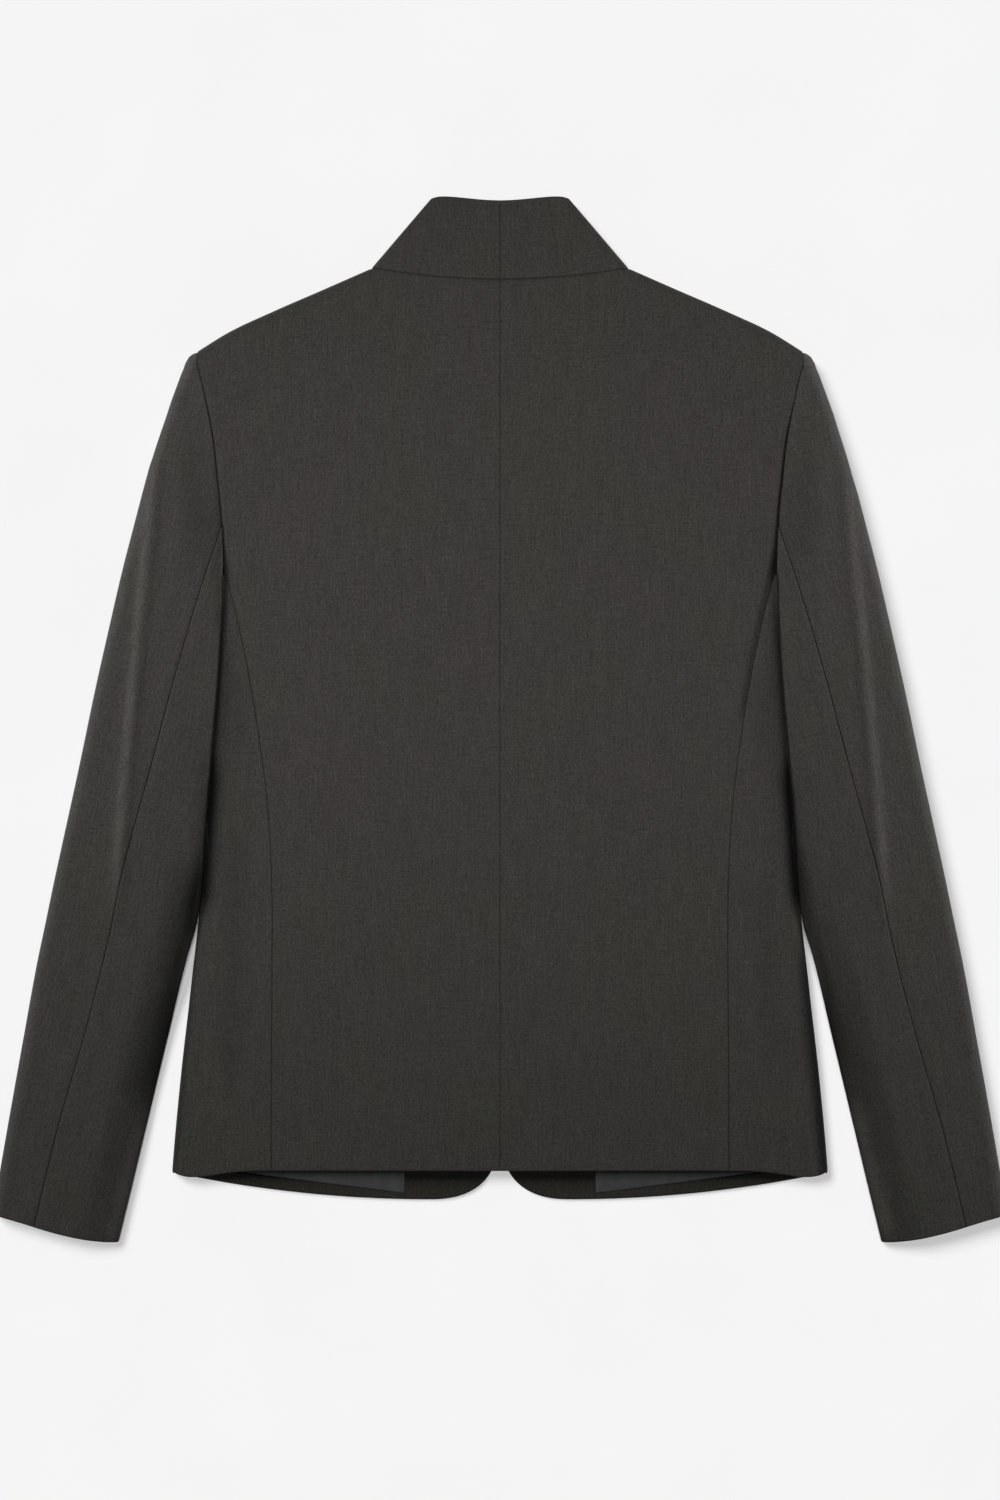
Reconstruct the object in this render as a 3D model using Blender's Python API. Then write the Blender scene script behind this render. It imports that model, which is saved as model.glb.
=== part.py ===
"""High neck blazer laid face down: cloth panels as thin walls, sewn edges 0.3 mm apart.

The frame has +Y towards the collar, +Z up, and the surface that the blazer lies on at z = 0.
Sizes are in millimetres up to the mesh, and metres in the mesh. The tables describe the wearer's
right half (+X), and each piece is made once for each side.
"""
from collections import namedtuple

import bpy
import numpy as np

MILLIMETRE = 0.001
WALL = 1.4
COLLAR_WALL = 2.2
FACING_WALL = 1.2
LINING_WALL = 1.0
SEAM_GAP = 0.3
HALF_GAP = SEAM_GAP / 2

# Lengthwise places of the main points
BACK_HEM = -307.0
BACK_NECK = 300.9
NECK_POINT = (87.0, 305.7)
SHOULDER_TIP = (204.7, 249.2)
ELBOW_SEAM_TOP = 121.5
UNDERARM = 98.0
SCYE_BOTTOM = 60.0
SCYE_SLACK = 1.5
FRONT_SCYE = 100.0

# Front edge, its rounded lower corner and the front hem
FRONT_EDGE = 1.5
CORNER_TOP = -286.0
CORNER_END = 48.0
CORNER_POWER = 2.4
FRONT_HEM = -326.1
FRONT_HEM_RISE = 15.0
FRONT_HEM_RUN = 158.0
SIDE_HEM_DIP = 4.0

# Collar
COLLAR_CORNER = (46.5, 355.0)
COLLAR_BACK_TOP = 352.6
COLLAR_TOP_LIFT = 2.6
COLLAR_FRONT_TOP = 300.0
COLLAR_FRONT_POWER = 1.3
FRONT_NECK = 245.0
COLLAR_ROUND = 5.5

# Rounding of the folded edges, seen in section
SHOULDER_ROUND = 7.0
SLEEVE_ROUND = 7.5
BODY_ROUND = 4.4

# The sleeve lies on the body's side fold and then steps down to the surface
SLEEVE_LIFT = 0.5
STEP_START = 3.0
STEP_RUN = 9.0
STEP_SHARES = (0.0, 0.35, 0.7, 1.0)
STEP_REACH = 0.8
STEP_END = -150.0
STEP_FADE = 50.0
SLEEVE_SWELL = 30.0

# Strips inside the front hem
FACING_EDGE = 64.6
STRIP_INSET = 0.8
STRIP_TOP = -250.0
STRIP_END = 204.0
TURN_UP_LOW = (64.6, -322.0)
TURN_UP_HIGH = (160.0, -309.7)

Body = namedtuple("Body", "y side_edge side_back_seam side_front_seam")
BODY = (
    Body(-330.0, 224.0, 155.0, 172.0),
    Body(-306.0, 222.4, 155.0, 172.0),
    Body(-238.0, 216.2, 154.8, 171.0),
    Body(-184.0, 210.1, 154.4, 171.0),
    Body(-110.0, 203.0, 154.6, 172.0),
    Body(-61.0, 203.5, 157.1, 174.0),
    Body(-7.0, 207.0, 163.9, 178.5),
    Body(47.0, 213.0, 173.4, 184.5),
    Body(75.0, 215.0, 179.6, 188.0),
    Body(100.0, 216.0, 187.0, 192.6),
)

Height = namedtuple("Height", "y centre side reach")
HEIGHTS = (
    Height(-330.0, 10.6, 8.8, 222.0),
    Height(-238.0, 11.4, 9.0, 215.0),
    Height(-110.0, 12.0, 9.0, 203.0),
    Height(-7.0, 12.0, 9.0, 206.0),
    Height(60.0, 12.1, 9.2, 208.0),
    Height(98.0, 12.3, 9.6, 197.0),
    Height(122.0, 12.5, 11.3, 191.0),
    Height(150.0, 12.7, 12.9, 190.0),
    Height(200.0, 13.0, 14.6, 196.0),
    Height(249.0, 13.0, 15.8, 205.0),
    Height(306.0, 12.6, 15.8, 205.0),
    Height(356.0, 11.4, 14.0, 205.0),
)

Armhole = namedtuple("Armhole", "y back front")
ARMHOLE = (
    Armhole(249.2, 204.9, 204.5),
    Armhole(244.5, 204.9, 203.4),
    Armhole(224.1, 200.6, 198.4),
    Armhole(203.7, 196.5, 194.4),
    Armhole(183.3, 193.1, 191.0),
    Armhole(162.9, 191.1, 189.0),
    Armhole(142.5, 189.0, 188.4),
    Armhole(122.1, 187.7, 189.4),
    Armhole(100.0, 187.0, 193.0),
)

Shoulder = namedtuple("Shoulder", "x y")
SHOULDER = (
    Shoulder(*NECK_POINT),
    Shoulder(121.0, 290.7),
    Shoulder(153.7, 276.4),
    Shoulder(186.3, 260.8),
    Shoulder(*SHOULDER_TIP),
)

Cap = namedtuple("Cap", "y outer_edge")
CAP = (
    Cap(249.2, 204.7),
    Cap(245.8, 210.2),
    Cap(237.7, 214.4),
    Cap(224.1, 219.6),
    Cap(196.9, 229.2),
    Cap(156.1, 241.4),
    Cap(121.5, 250.6),
)

Sleeve = namedtuple("Sleeve", "y outer_edge inner_edge elbow_seam inseam inner_round")
SLEEVE = (
    Sleeve(121.5, 250.6, 179.5, 190.0, 189.5, 2.0),
    Sleeve(110.0, 253.6, 183.4, 195.6, 190.8, 2.0),
    Sleeve(98.0, 256.6, 187.0, 199.4, 193.6, 2.0),
    Sleeve(80.0, 260.8, 187.7, 204.4, 205.0, 2.5),
    Sleeve(62.0, 264.9, 188.4, 209.3, 219.5, 2.9),
    Sleeve(27.0, 272.8, 190.4, 219.6, 226.5, 2.9),
    Sleeve(-34.0, 285.6, 195.8, 236.4, 233.5, 2.9),
    Sleeve(-82.0, 296.1, 199.4, 249.6, 238.5, 2.9),
    Sleeve(-110.0, 302.2, 201.2, 256.6, 241.5, 2.9),
    Sleeve(-136.0, 307.6, 204.6, 261.8, 245.0, 5.0),
    Sleeve(-163.0, 313.3, 212.4, 267.9, 249.5, 9.0),
    Sleeve(-218.0, 323.4, 226.0, 282.2, 259.5, 14.0),
    Sleeve(-272.0, 333.1, 239.0, 297.8, 270.0, 14.0),
    Sleeve(-327.0, 342.6, 252.2, 311.4, 281.5, 11.0),
    Sleeve(-358.0, 347.6, 259.8, 318.6, 288.0, 9.0),
)

SleeveHeight = namedtuple("SleeveHeight", "y edge crown")
SLEEVE_HEIGHTS = (
    SleeveHeight(249.0, 15.8, 16.2),
    SleeveHeight(224.0, 15.2, 16.8),
    SleeveHeight(200.0, 14.6, 17.2),
    SleeveHeight(150.0, 12.9, 17.2),
    SleeveHeight(122.0, 12.2, 16.8),
    SleeveHeight(98.0, 14.2, 16.4),
    SleeveHeight(62.0, 15.6, 16.4),
    SleeveHeight(-34.0, 15.5, 16.2),
    SleeveHeight(-110.0, 15.2, 15.8),
    SleeveHeight(-150.0, 14.2, 15.2),
    SleeveHeight(-218.0, 12.6, 14.2),
    SleeveHeight(-358.0, 11.2, 12.4),
)

Cuff = namedtuple("Cuff", "x y")
CUFF = (
    Cuff(255.0, -355.2),
    Cuff(272.0, -353.9),
    Cuff(299.2, -348.5),
    Cuff(326.4, -340.3),
    Cuff(346.0, -334.6),
)

Finish = namedtuple("Finish", "name colour roughness")
WOOL = Finish("charcoal_wool", (0.042, 0.039, 0.036), 0.88)
UNDER_WOOL = Finish("charcoal_wool_inside", (0.034, 0.032, 0.030), 0.9)
SATIN = Finish("dark_lining", (0.030, 0.031, 0.034), 0.5)

# Rows of the panels' points, at the same places on both sides of each seam
CAP_ROWS = (247.0, 244.5, 236.0, 224.1, 203.7, 183.3, 162.9, 142.5, 121.5)
SHOULDER_ROWS = (246.8, 248.3)
SCYE_ROWS = 4
BODY_ROWS = np.linspace(36.0, -290.0, 11)
SLEEVE_ROWS = np.linspace(36.0, -320.0, 13)
COLLAR_ROWS = 5
FRONT_NECK_TURNS = np.radians((0.0, 22.5, 45.0, 67.5, 82.0, 90.0))
HALF_PANEL_COLUMNS = 4
FLAT_COLUMNS = 3
SLEEVE_COLUMNS = 4
FOLD_COLUMNS = 4
COLLAR_COLUMNS = 5
STRIP_COLUMNS = 8

OUTLINE_POINTS = 160
SLOPE_STEP = 0.5
EDGE_SHARE = 0.6
LEAST_LEAN = 0.5
SHARP_ANGLE = 50.0
HALVINGS = 30
CROSSINGS = 12

Column = namedtuple("Column", "place layer")


def through(at, table, column, along="y"):
    """Smooth curve through one column of a table, read at places along it."""
    rows = sorted(table, key=lambda row: getattr(row, along))
    places = np.array([getattr(row, along) for row in rows])
    values = np.array([getattr(row, column) for row in rows])
    slopes = np.gradient(values, places)
    at = np.clip(at, places[0], places[-1])
    low = np.clip(np.searchsorted(places, at) - 1, 0, len(rows) - 2)
    span = places[low + 1] - places[low]
    t = (at - places[low]) / span
    rise = values[low + 1] - values[low]
    bend_low = slopes[low] * span - rise
    bend_high = rise - slopes[low + 1] * span
    return values[low] + rise * t + t * (1 - t) * ((1 - t) * bend_low + t * bend_high)


def ease(t):
    """Rise from 0 to 1 with level ends."""
    t = np.clip(t, 0.0, 1.0)
    return t * t * (3 - 2 * t)


def between(start, end, t):
    """Point or number at fraction t from start to end."""
    return start + (end - start) * t


def unit(vectors):
    """Vectors of the same direction, one long."""
    return vectors / np.linalg.norm(vectors, axis=-1, keepdims=True)


class Outline:
    """Folded edge in plan, with the outside on the left of its direction of travel."""

    def __init__(self, points, radius):
        self.points = np.array(points)
        self.radius = radius
        ahead = np.gradient(self.points, axis=0)
        self.outward = unit(np.stack([-ahead[:, 1], ahead[:, 0]], axis=1))

    def rounding(self, x, y):
        """Angle of the cloth's face, 0 at the edge to a right angle inside, and the way out."""
        starts = self.points[:-1]
        steps = self.points[1:] - starts
        offset = np.stack([x, y], axis=-1)[..., None, :] - starts
        along = np.clip((offset * steps).sum(-1) / (steps * steps).sum(-1), 0.0, 1.0)
        gaps = np.linalg.norm(offset - along[..., None] * steps, axis=-1)
        nearest = np.argmin(gaps, axis=-1)
        gap = np.take_along_axis(gaps, nearest[..., None], -1)[..., 0]
        share = np.take_along_axis(along, nearest[..., None], -1)
        way = between(self.outward[nearest], self.outward[nearest + 1], share)
        angle = np.arccos(np.clip(1 - gap / self.radius(y), 0.0, 1.0))
        return angle, way


def edge_outline(start, end, edge, radius):
    """Outline of a folded edge whose place across is a function of y."""
    places = np.linspace(start, end, OUTLINE_POINTS)
    return Outline(np.stack([edge(places), places], axis=1), radius)


def body_top(x, y):
    """Height of the back's upper face."""
    centre = through(y, HEIGHTS, "centre")
    side = through(y, HEIGHTS, "side")
    share = np.minimum(np.abs(x) / through(y, HEIGHTS, "reach"), 1.0)
    return between(centre, side, share * share)


def floor(x, y):
    """Height of the surface that the blazer lies on."""
    return np.zeros_like(x)


def shoulder_height(x):
    """Shoulder line, from the neck point to the shoulder tip."""
    return through(x, SHOULDER, "y", "x")


def side_edge(y):
    """Side fold of the body."""
    return through(y, BODY, "side_edge")


def outer_edge(y):
    """Outer fold of the sleeve, from the shoulder tip to the cuff."""
    return np.where(y > ELBOW_SEAM_TOP, through(y, CAP, "outer_edge"), through(y, SLEEVE, "outer_edge"))


def inner_edge(y):
    """Inner fold of the sleeve."""
    return through(y, SLEEVE, "inner_edge")


def inner_round(y):
    """Radius of the sleeve's inner fold."""
    return through(y, SLEEVE, "inner_round")


def back_armhole(y):
    """Armhole seam of the back."""
    return through(y, ARMHOLE, "back")


def sleeve_back_seam(y):
    """Upper seam of the top sleeve: the armhole, then the elbow seam."""
    return np.where(y > ELBOW_SEAM_TOP, back_armhole(y), through(y, SLEEVE, "elbow_seam"))


def sleeve_front_seam(y):
    """Lower seam of the top sleeve: the front armhole, then the inseam."""
    return np.where(y > ELBOW_SEAM_TOP, through(y, ARMHOLE, "front"), through(y, SLEEVE, "inseam"))


def back_side_seam(y):
    """Outer seam of the back: the side-back seam, then the armhole."""
    return np.where(y > FRONT_SCYE, back_armhole(y), through(y, BODY, "side_back_seam"))


def front_side_seam(y):
    """Outer seam of the front: the side-front seam, then the front armhole."""
    return np.where(y > FRONT_SCYE, through(y, ARMHOLE, "front"), through(y, BODY, "side_front_seam"))


def sleeve_top(x, y):
    """Height of the sleeve's upper face, swelling away from the body."""
    start = np.where(y > UNDERARM, back_armhole(y), inner_edge(y))
    edge = through(y, SLEEVE_HEIGHTS, "edge")
    crown = through(y, SLEEVE_HEIGHTS, "crown")
    return between(edge, crown, ease((x - start) / SLEEVE_SWELL))


def sleeve_bottom(x, y):
    """Height of the under sleeve's lower face, which steps down off the body's side fold."""
    on_body = body_top(x, y) + SLEEVE_LIFT
    return on_body * (1 - ease((x - side_edge(y) - STEP_START) / STEP_RUN))


def back_neck(x):
    """Neck seam of the back."""
    return between(BACK_NECK, NECK_POINT[1], (x / NECK_POINT[0]) ** 2)


def front_outline(x):
    """Lower edge of the front: the rounded corner, then the hem."""
    share = np.clip((CORNER_END - x) / (CORNER_END - FRONT_EDGE), 0.0, 1.0)
    corner = between(CORNER_TOP, FRONT_HEM, (1 - share ** CORNER_POWER) ** (1 / CORNER_POWER))
    hem = FRONT_HEM + FRONT_HEM_RISE * ((x - CORNER_END) / FRONT_HEM_RUN) ** 2
    return np.where(x < CORNER_END, corner, hem)


def side_hem(x):
    """Hem of the side panel's upper layer."""
    start = BODY[0].side_back_seam
    share = (x - start) / (BODY[0].side_edge - start)
    return BACK_HEM - SIDE_HEM_DIP * np.sin(np.pi * np.clip(share, 0.0, 1.0))


def cuff(x):
    """Edge of the sleeve at the wrist."""
    return through(x, CUFF, "y", "x")


SHOULDER_X = np.linspace(NECK_POINT[0], SHOULDER_TIP[0], OUTLINE_POINTS)
SHOULDER_LINE = Outline(
    np.stack([SHOULDER_X, shoulder_height(SHOULDER_X)], axis=1),
    lambda y: SHOULDER_ROUND,
)
SIDE_LINE = edge_outline(SHOULDER_TIP[1], BODY[0].y, side_edge, lambda y: BODY_ROUND)
OUTER_LINE = edge_outline(SHOULDER_TIP[1], SLEEVE[-1].y, outer_edge, lambda y: SLEEVE_ROUND)
INNER_LINE = edge_outline(SLEEVE[-1].y, ELBOW_SEAM_TOP, inner_edge, inner_round)
COLLAR_LINE = Outline(np.linspace(COLLAR_CORNER, NECK_POINT, OUTLINE_POINTS), lambda y: COLLAR_ROUND)


def cloth(x, y, layer, top, bottom, outline):
    """Outer face of the cloth above plan points, and the directions out of it.

    The layer is 1 for the upper side, -1 for the lower side and 0 on the folded edge itself.
    """
    angle, way = outline.rounding(x, y)
    layer = np.broadcast_to(layer, x.shape)
    half = (top(x, y) - bottom(x, y)) / 2
    middle = bottom(x, y) + half
    z = middle + layer * (HALF_GAP + (half - HALF_GAP) * np.sin(angle))

    def face(at_x, at_y):
        return np.where(layer < 0, bottom(at_x, at_y), top(at_x, at_y))

    across = (face(x + SLOPE_STEP, y) - face(x - SLOPE_STEP, y)) / (2 * SLOPE_STEP)
    along = (face(x, y + SLOPE_STEP) - face(x, y - SLOPE_STEP)) / (2 * SLOPE_STEP)
    flat = unit(np.stack([-across, -along, np.ones_like(x)], axis=-1)) * layer[..., None]
    edge = np.concatenate([way, np.zeros_like(way[..., :1])], axis=-1)
    normal = np.cos(angle)[..., None] * edge + np.sin(angle)[..., None] * flat
    return np.stack([x, y, z], axis=-1), unit(normal)


def patch(left, right, low, high, rows):
    """Plan points between four edges: left and right at each row, low and high at each column."""
    t = np.array(rows)[:, None, None]
    s = np.linspace(0.0, 1.0, len(low))[None, :, None]
    low = np.array(low)[None]
    high = np.array(high)[None]
    left = np.array(left)[:, None]
    right = np.array(right)[:, None]
    corners = between(between(low[:, :1], low[:, -1:], s), between(high[:, :1], high[:, -1:], s), t)
    return between(low, high, t) + between(left, right, s) - corners


def fold_columns(upper, lower, edge, radius, out, flats):
    """Columns of a panel that wraps a folded edge, from its upper seam round to its lower seam."""

    def run(seam, share):
        def place(y):
            reach = np.minimum(radius(y), EDGE_SHARE * np.abs(edge(y) - seam(y)))
            return between(seam(y), edge(y) - out * reach, share)
        return place

    def bend(seam, angle):
        def place(y):
            reach = np.minimum(radius(y), EDGE_SHARE * np.abs(edge(y) - seam(y)))
            return edge(y) - out * reach * (1 - np.cos(angle))
        return place

    shares = np.linspace(0.0, 1.0, flats + 1)
    angles = np.linspace(np.pi / 2, 0.0, FOLD_COLUMNS // 2 + 1)[1:-1]
    columns = [Column(run(upper, share), 1) for share in shares]
    columns += [Column(bend(upper, angle), 1) for angle in angles]
    columns += [Column(edge, 0)]
    columns += [Column(bend(lower, angle), -1) for angle in angles[::-1]]
    columns += [Column(run(lower, share), -1) for share in shares[::-1]]
    return columns


def crossing(column, line, start):
    """Place along a column where it meets a line that runs across."""
    y = np.array(float(start))
    for _ in range(CROSSINGS):
        y = line(column.place(y))
    return float(y)


def column_grid(columns, tops, bottoms, stations):
    """Plan points of a panel whose columns have their own ends and share the stations between."""
    x, y = [], []
    for column, top, bottom in zip(columns, tops, bottoms):
        scye = between(top, stations[0], np.linspace(0.0, 1.0, SCYE_ROWS + 1))
        places = np.concatenate([scye, stations[1:], (bottom,)])
        x.append(column.place(places))
        y.append(places)
    layer = np.array([column.layer for column in columns])
    return np.stack(x, axis=1), np.stack(y, axis=1), layer[None, :]


def squared(normals, run):
    """Directions out of the cloth along a seam, kept in the seam's own upright plane."""
    ahead = np.gradient(run[:, :2], axis=0)
    across = unit(np.stack([-ahead[:, 1], ahead[:, 0]], axis=1))
    result = normals.copy()
    result[:, :2] -= (normals[:, :2] * across).sum(-1, keepdims=True) * across
    return result / np.maximum(np.linalg.norm(result, axis=-1, keepdims=True), LEAST_LEAN)


def square_seams(points, normals):
    """Directions out of the cloth, squared along the piece's first and last columns."""
    normals = normals.copy()
    for seam in (0, -1):
        normals[:, seam] = squared(normals[:, seam], points[:, seam])
    return normals


def wall(name, points, normals, thickness, finish, side):
    """Closed wall from the points of its outer face, on one side of the blazer."""
    outer = points
    inner = points - normals * thickness
    height, width = outer.shape[:2]
    mirror = np.array((side, 1.0, 1.0))
    vertices = np.concatenate([outer.reshape(-1, 3), inner.reshape(-1, 3)]) * mirror * MILLIMETRE
    index = np.arange(height * width).reshape(height, width)
    cells = [
        (index[r, c], index[r, c + 1], index[r + 1, c + 1], index[r + 1, c])
        for r in range(height - 1) for c in range(width - 1)
    ]
    rim = list(index[0]) + list(index[1:, -1]) + list(index[-1, -2::-1]) + list(index[-2:0:-1, 0])
    faces = list(cells)
    faces += [tuple(int(i) + height * width for i in reversed(cell)) for cell in cells]
    for first, second in zip(rim, rim[1:] + rim[:1]):
        faces.append((second, first, first + height * width, second + height * width))
    diagonal = np.cross(outer[1, 1] - outer[0, 0], outer[1, 0] - outer[0, 1])
    outward = np.dot(diagonal, normals[0, 0]) * side > 0
    faces = [tuple(int(i) for i in (face if outward else face[::-1])) for face in faces]
    mesh = bpy.data.meshes.new(name)
    mesh.from_pydata([tuple(vertex) for vertex in vertices], [], faces)
    mesh.materials.append(finish)
    mesh.validate()
    mesh.shade_smooth()
    mesh.set_sharp_from_angle(angle=np.radians(SHARP_ANGLE))
    bpy.context.scene.collection.objects.link(bpy.data.objects.new(name, mesh))


def material(finish):
    """Principled material of one finish."""
    result = bpy.data.materials.new(finish.name)
    result.use_nodes = True
    shader = result.node_tree.nodes["Principled BSDF"]
    shader.inputs["Base Color"].default_value = (*finish.colour, 1.0)
    shader.inputs["Roughness"].default_value = finish.roughness
    shader.inputs["Metallic"].default_value = 0.0
    return result


def seam_rows(hem, scye):
    """Places along the outer seam of a back or front, from its hem to the shoulder tip."""
    rounded = between(BODY_ROWS[0], scye, np.linspace(0.0, 1.0, SCYE_ROWS + 1))[1:]
    cap = sorted(CAP_ROWS[1:] + SHOULDER_ROWS + (SHOULDER_TIP[1],))
    return np.concatenate([(hem,), BODY_ROWS[::-1], rounded, cap])


def shoulder_run(tip_x):
    """Plan points along the shoulder line, from past the neck point to the tip."""
    x = np.linspace(NECK_POINT[0], tip_x, HALF_PANEL_COLUMNS + 1)[1:]
    return np.stack([x, shoulder_height(x)], axis=1)


def panel(low, high, inner_x, seam, scye, layer):
    """Half of the back or the front, from the centre to its outer seam."""
    right_y = seam_rows(low[-1][1], scye)
    right = np.stack([seam(right_y) - HALF_GAP, right_y], axis=1)
    rows = (right_y - right_y[0]) / (right_y[-1] - right_y[0])
    left_y = between(low[0][1], high[0][1], rows)
    left = np.stack([np.full_like(left_y, inner_x), left_y], axis=1)
    plan = patch(left, right, low, high, rows)
    return cloth(plan[..., 0], plan[..., 1], layer, body_top, floor, SHOULDER_LINE)


def back():
    """Half back, from the centre-back seam to the side-back seam and armhole."""
    low_x = np.linspace(HALF_GAP, back_side_seam(BACK_HEM) - HALF_GAP, 2 * HALF_PANEL_COLUMNS + 1)
    low = np.stack([low_x, np.full_like(low_x, BACK_HEM)], axis=1)
    neck_x = np.linspace(HALF_GAP, NECK_POINT[0], HALF_PANEL_COLUMNS + 1)
    neck = np.stack([neck_x, back_neck(neck_x) - HALF_GAP], axis=1)
    high = np.concatenate([neck, shoulder_run(back_armhole(SHOULDER_TIP[1]) - HALF_GAP)])
    return panel(low, high, HALF_GAP, back_side_seam, UNDERARM, 1)


def front_corner():
    """Plan points round the front's lower corner."""
    turn = np.linspace(0.0, np.pi / 2, len(FRONT_NECK_TURNS))
    x = between(CORNER_END, FRONT_EDGE, np.cos(turn) ** (2 / CORNER_POWER))
    y = between(CORNER_TOP, FRONT_HEM, np.sin(turn) ** (2 / CORNER_POWER))
    return np.stack([x, y], axis=1)


def front_neck():
    """Plan points of the front's neck seam, from the front edge to the neck point."""
    x = between(FRONT_EDGE, NECK_POINT[0], np.sin(FRONT_NECK_TURNS))
    y = between(NECK_POINT[1], FRONT_NECK, np.cos(FRONT_NECK_TURNS))
    return np.stack([x, y], axis=1)


def front():
    """Half front, from the front edge to the side-front seam and armhole."""
    hem_x = np.linspace(CORNER_END, BODY[0].side_front_seam - HALF_GAP, HALF_PANEL_COLUMNS + 1)[1:]
    low = np.concatenate([front_corner(), np.stack([hem_x, front_outline(hem_x)], axis=1)])
    tip_x = through(SHOULDER_TIP[1], ARMHOLE, "front") - HALF_GAP
    high = np.concatenate([front_neck() - (0.0, HALF_GAP), shoulder_run(tip_x)])
    return panel(low, high, FRONT_EDGE, front_side_seam, FRONT_SCYE - SEAM_GAP, -1)


def side_panel():
    """Side panel, from the side-back seam round the side fold to the side-front seam."""
    columns = fold_columns(
        lambda y: through(y, BODY, "side_back_seam") + HALF_GAP,
        lambda y: through(y, BODY, "side_front_seam") + HALF_GAP,
        side_edge, lambda y: np.full_like(y, BODY_ROUND), 1, FLAT_COLUMNS,
    )
    scye = ease(np.linspace(0.0, 1.0, FLAT_COLUMNS + 1))
    bend = [SCYE_BOTTOM] * (FOLD_COLUMNS - 1)
    tops = list(between(UNDERARM, SCYE_BOTTOM, scye)) + bend
    tops += list(between(SCYE_BOTTOM, FRONT_SCYE - SEAM_GAP, scye))
    lines = [front_outline if column.layer < 0 else side_hem for column in columns]
    bottoms = [crossing(column, line, BACK_HEM) for column, line in zip(columns, lines)]
    x, y, layer = column_grid(columns, tops, bottoms, BODY_ROWS)
    return cloth(x, y, layer, body_top, floor, SIDE_LINE)


def top_sleeve():
    """Top sleeve, from the back armhole and elbow seam over the outer fold to the inseam."""
    columns = fold_columns(
        lambda y: sleeve_back_seam(y) + HALF_GAP,
        lambda y: sleeve_front_seam(y) + HALF_GAP,
        outer_edge, lambda y: np.full_like(y, SLEEVE_ROUND), 1, SLEEVE_COLUMNS,
    )
    tops = [ELBOW_SEAM_TOP] * len(columns)
    bottoms = [crossing(column, cuff, CUFF[0].y) for column in columns]
    x, y, layer = column_grid(columns, tops, bottoms, SLEEVE_ROWS)
    cap_y = np.array(CAP_ROWS[:-1])
    cap_x = np.stack([column.place(cap_y) for column in columns], axis=1)
    x = np.concatenate([cap_x, x])
    y = np.concatenate([np.broadcast_to(cap_y[:, None], cap_x.shape), y])
    return cloth(x, y, layer, sleeve_top, floor, OUTER_LINE)


def armhole_end(column):
    """Place along an under sleeve's column where the armhole cuts it off."""
    low, high = SCYE_BOTTOM, ELBOW_SEAM_TOP
    for _ in range(HALVINGS):
        middle = (low + high) / 2
        if column.place(middle) > back_armhole(middle) + HALF_GAP:
            low = middle
        else:
            high = middle
    return low


def step_column(share, seam):
    """Column of the under sleeve's lower face, kept along the step off the body's side fold."""

    def place(y):
        start = inner_edge(y) + inner_round(y)
        even = between(start, seam(y), STEP_REACH * share)
        step = side_edge(y) + STEP_START + STEP_RUN * share
        held = np.clip(step, start, seam(y))
        return between(even, held, ease((y - STEP_END + STEP_FADE) / STEP_FADE))
    return Column(place, -1)


def under_sleeve():
    """Under sleeve, from the elbow seam round the inner fold to the inseam."""

    def inseam(y):
        slack = SCYE_SLACK * np.clip((y - SLEEVE_ROWS[0]) / (SCYE_BOTTOM - SLEEVE_ROWS[0]), 0.0, 1.0)
        return through(y, SLEEVE, "inseam") - HALF_GAP - slack

    columns = fold_columns(
        lambda y: through(y, SLEEVE, "elbow_seam") - HALF_GAP,
        inseam, inner_edge, inner_round, -1, FLAT_COLUMNS,
    )
    upper = columns[:FLAT_COLUMNS + FOLD_COLUMNS // 2 + 1]
    turned = columns[len(upper):-FLAT_COLUMNS - 1]
    lower = [step_column(share, inseam) for share in STEP_SHARES] + [Column(inseam, -1)]
    columns = upper + turned + lower
    tops = [armhole_end(column) for column in upper]
    scye = np.linspace(0.0, 1.0, len(turned) + len(lower) + 1)[1:]
    tops += list(between(tops[-1], SCYE_BOTTOM, ease(scye)))
    bottoms = [crossing(column, cuff, CUFF[0].y) for column in columns]
    x, y, layer = column_grid(columns, tops, bottoms, SLEEVE_ROWS)
    return cloth(x, y, layer, sleeve_top, sleeve_bottom, INNER_LINE)


def collar_run(edge_x):
    """Places across the collar's upper side, from the centre back to its folded edge."""
    flat = np.linspace(HALF_GAP, edge_x - COLLAR_ROUND, COLLAR_COLUMNS + 1)
    angles = np.linspace(np.pi / 2, 0.0, FOLD_COLUMNS // 2 + 1)[1:]
    return np.concatenate([flat, edge_x - COLLAR_ROUND * (1 - np.cos(angles))])


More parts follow.
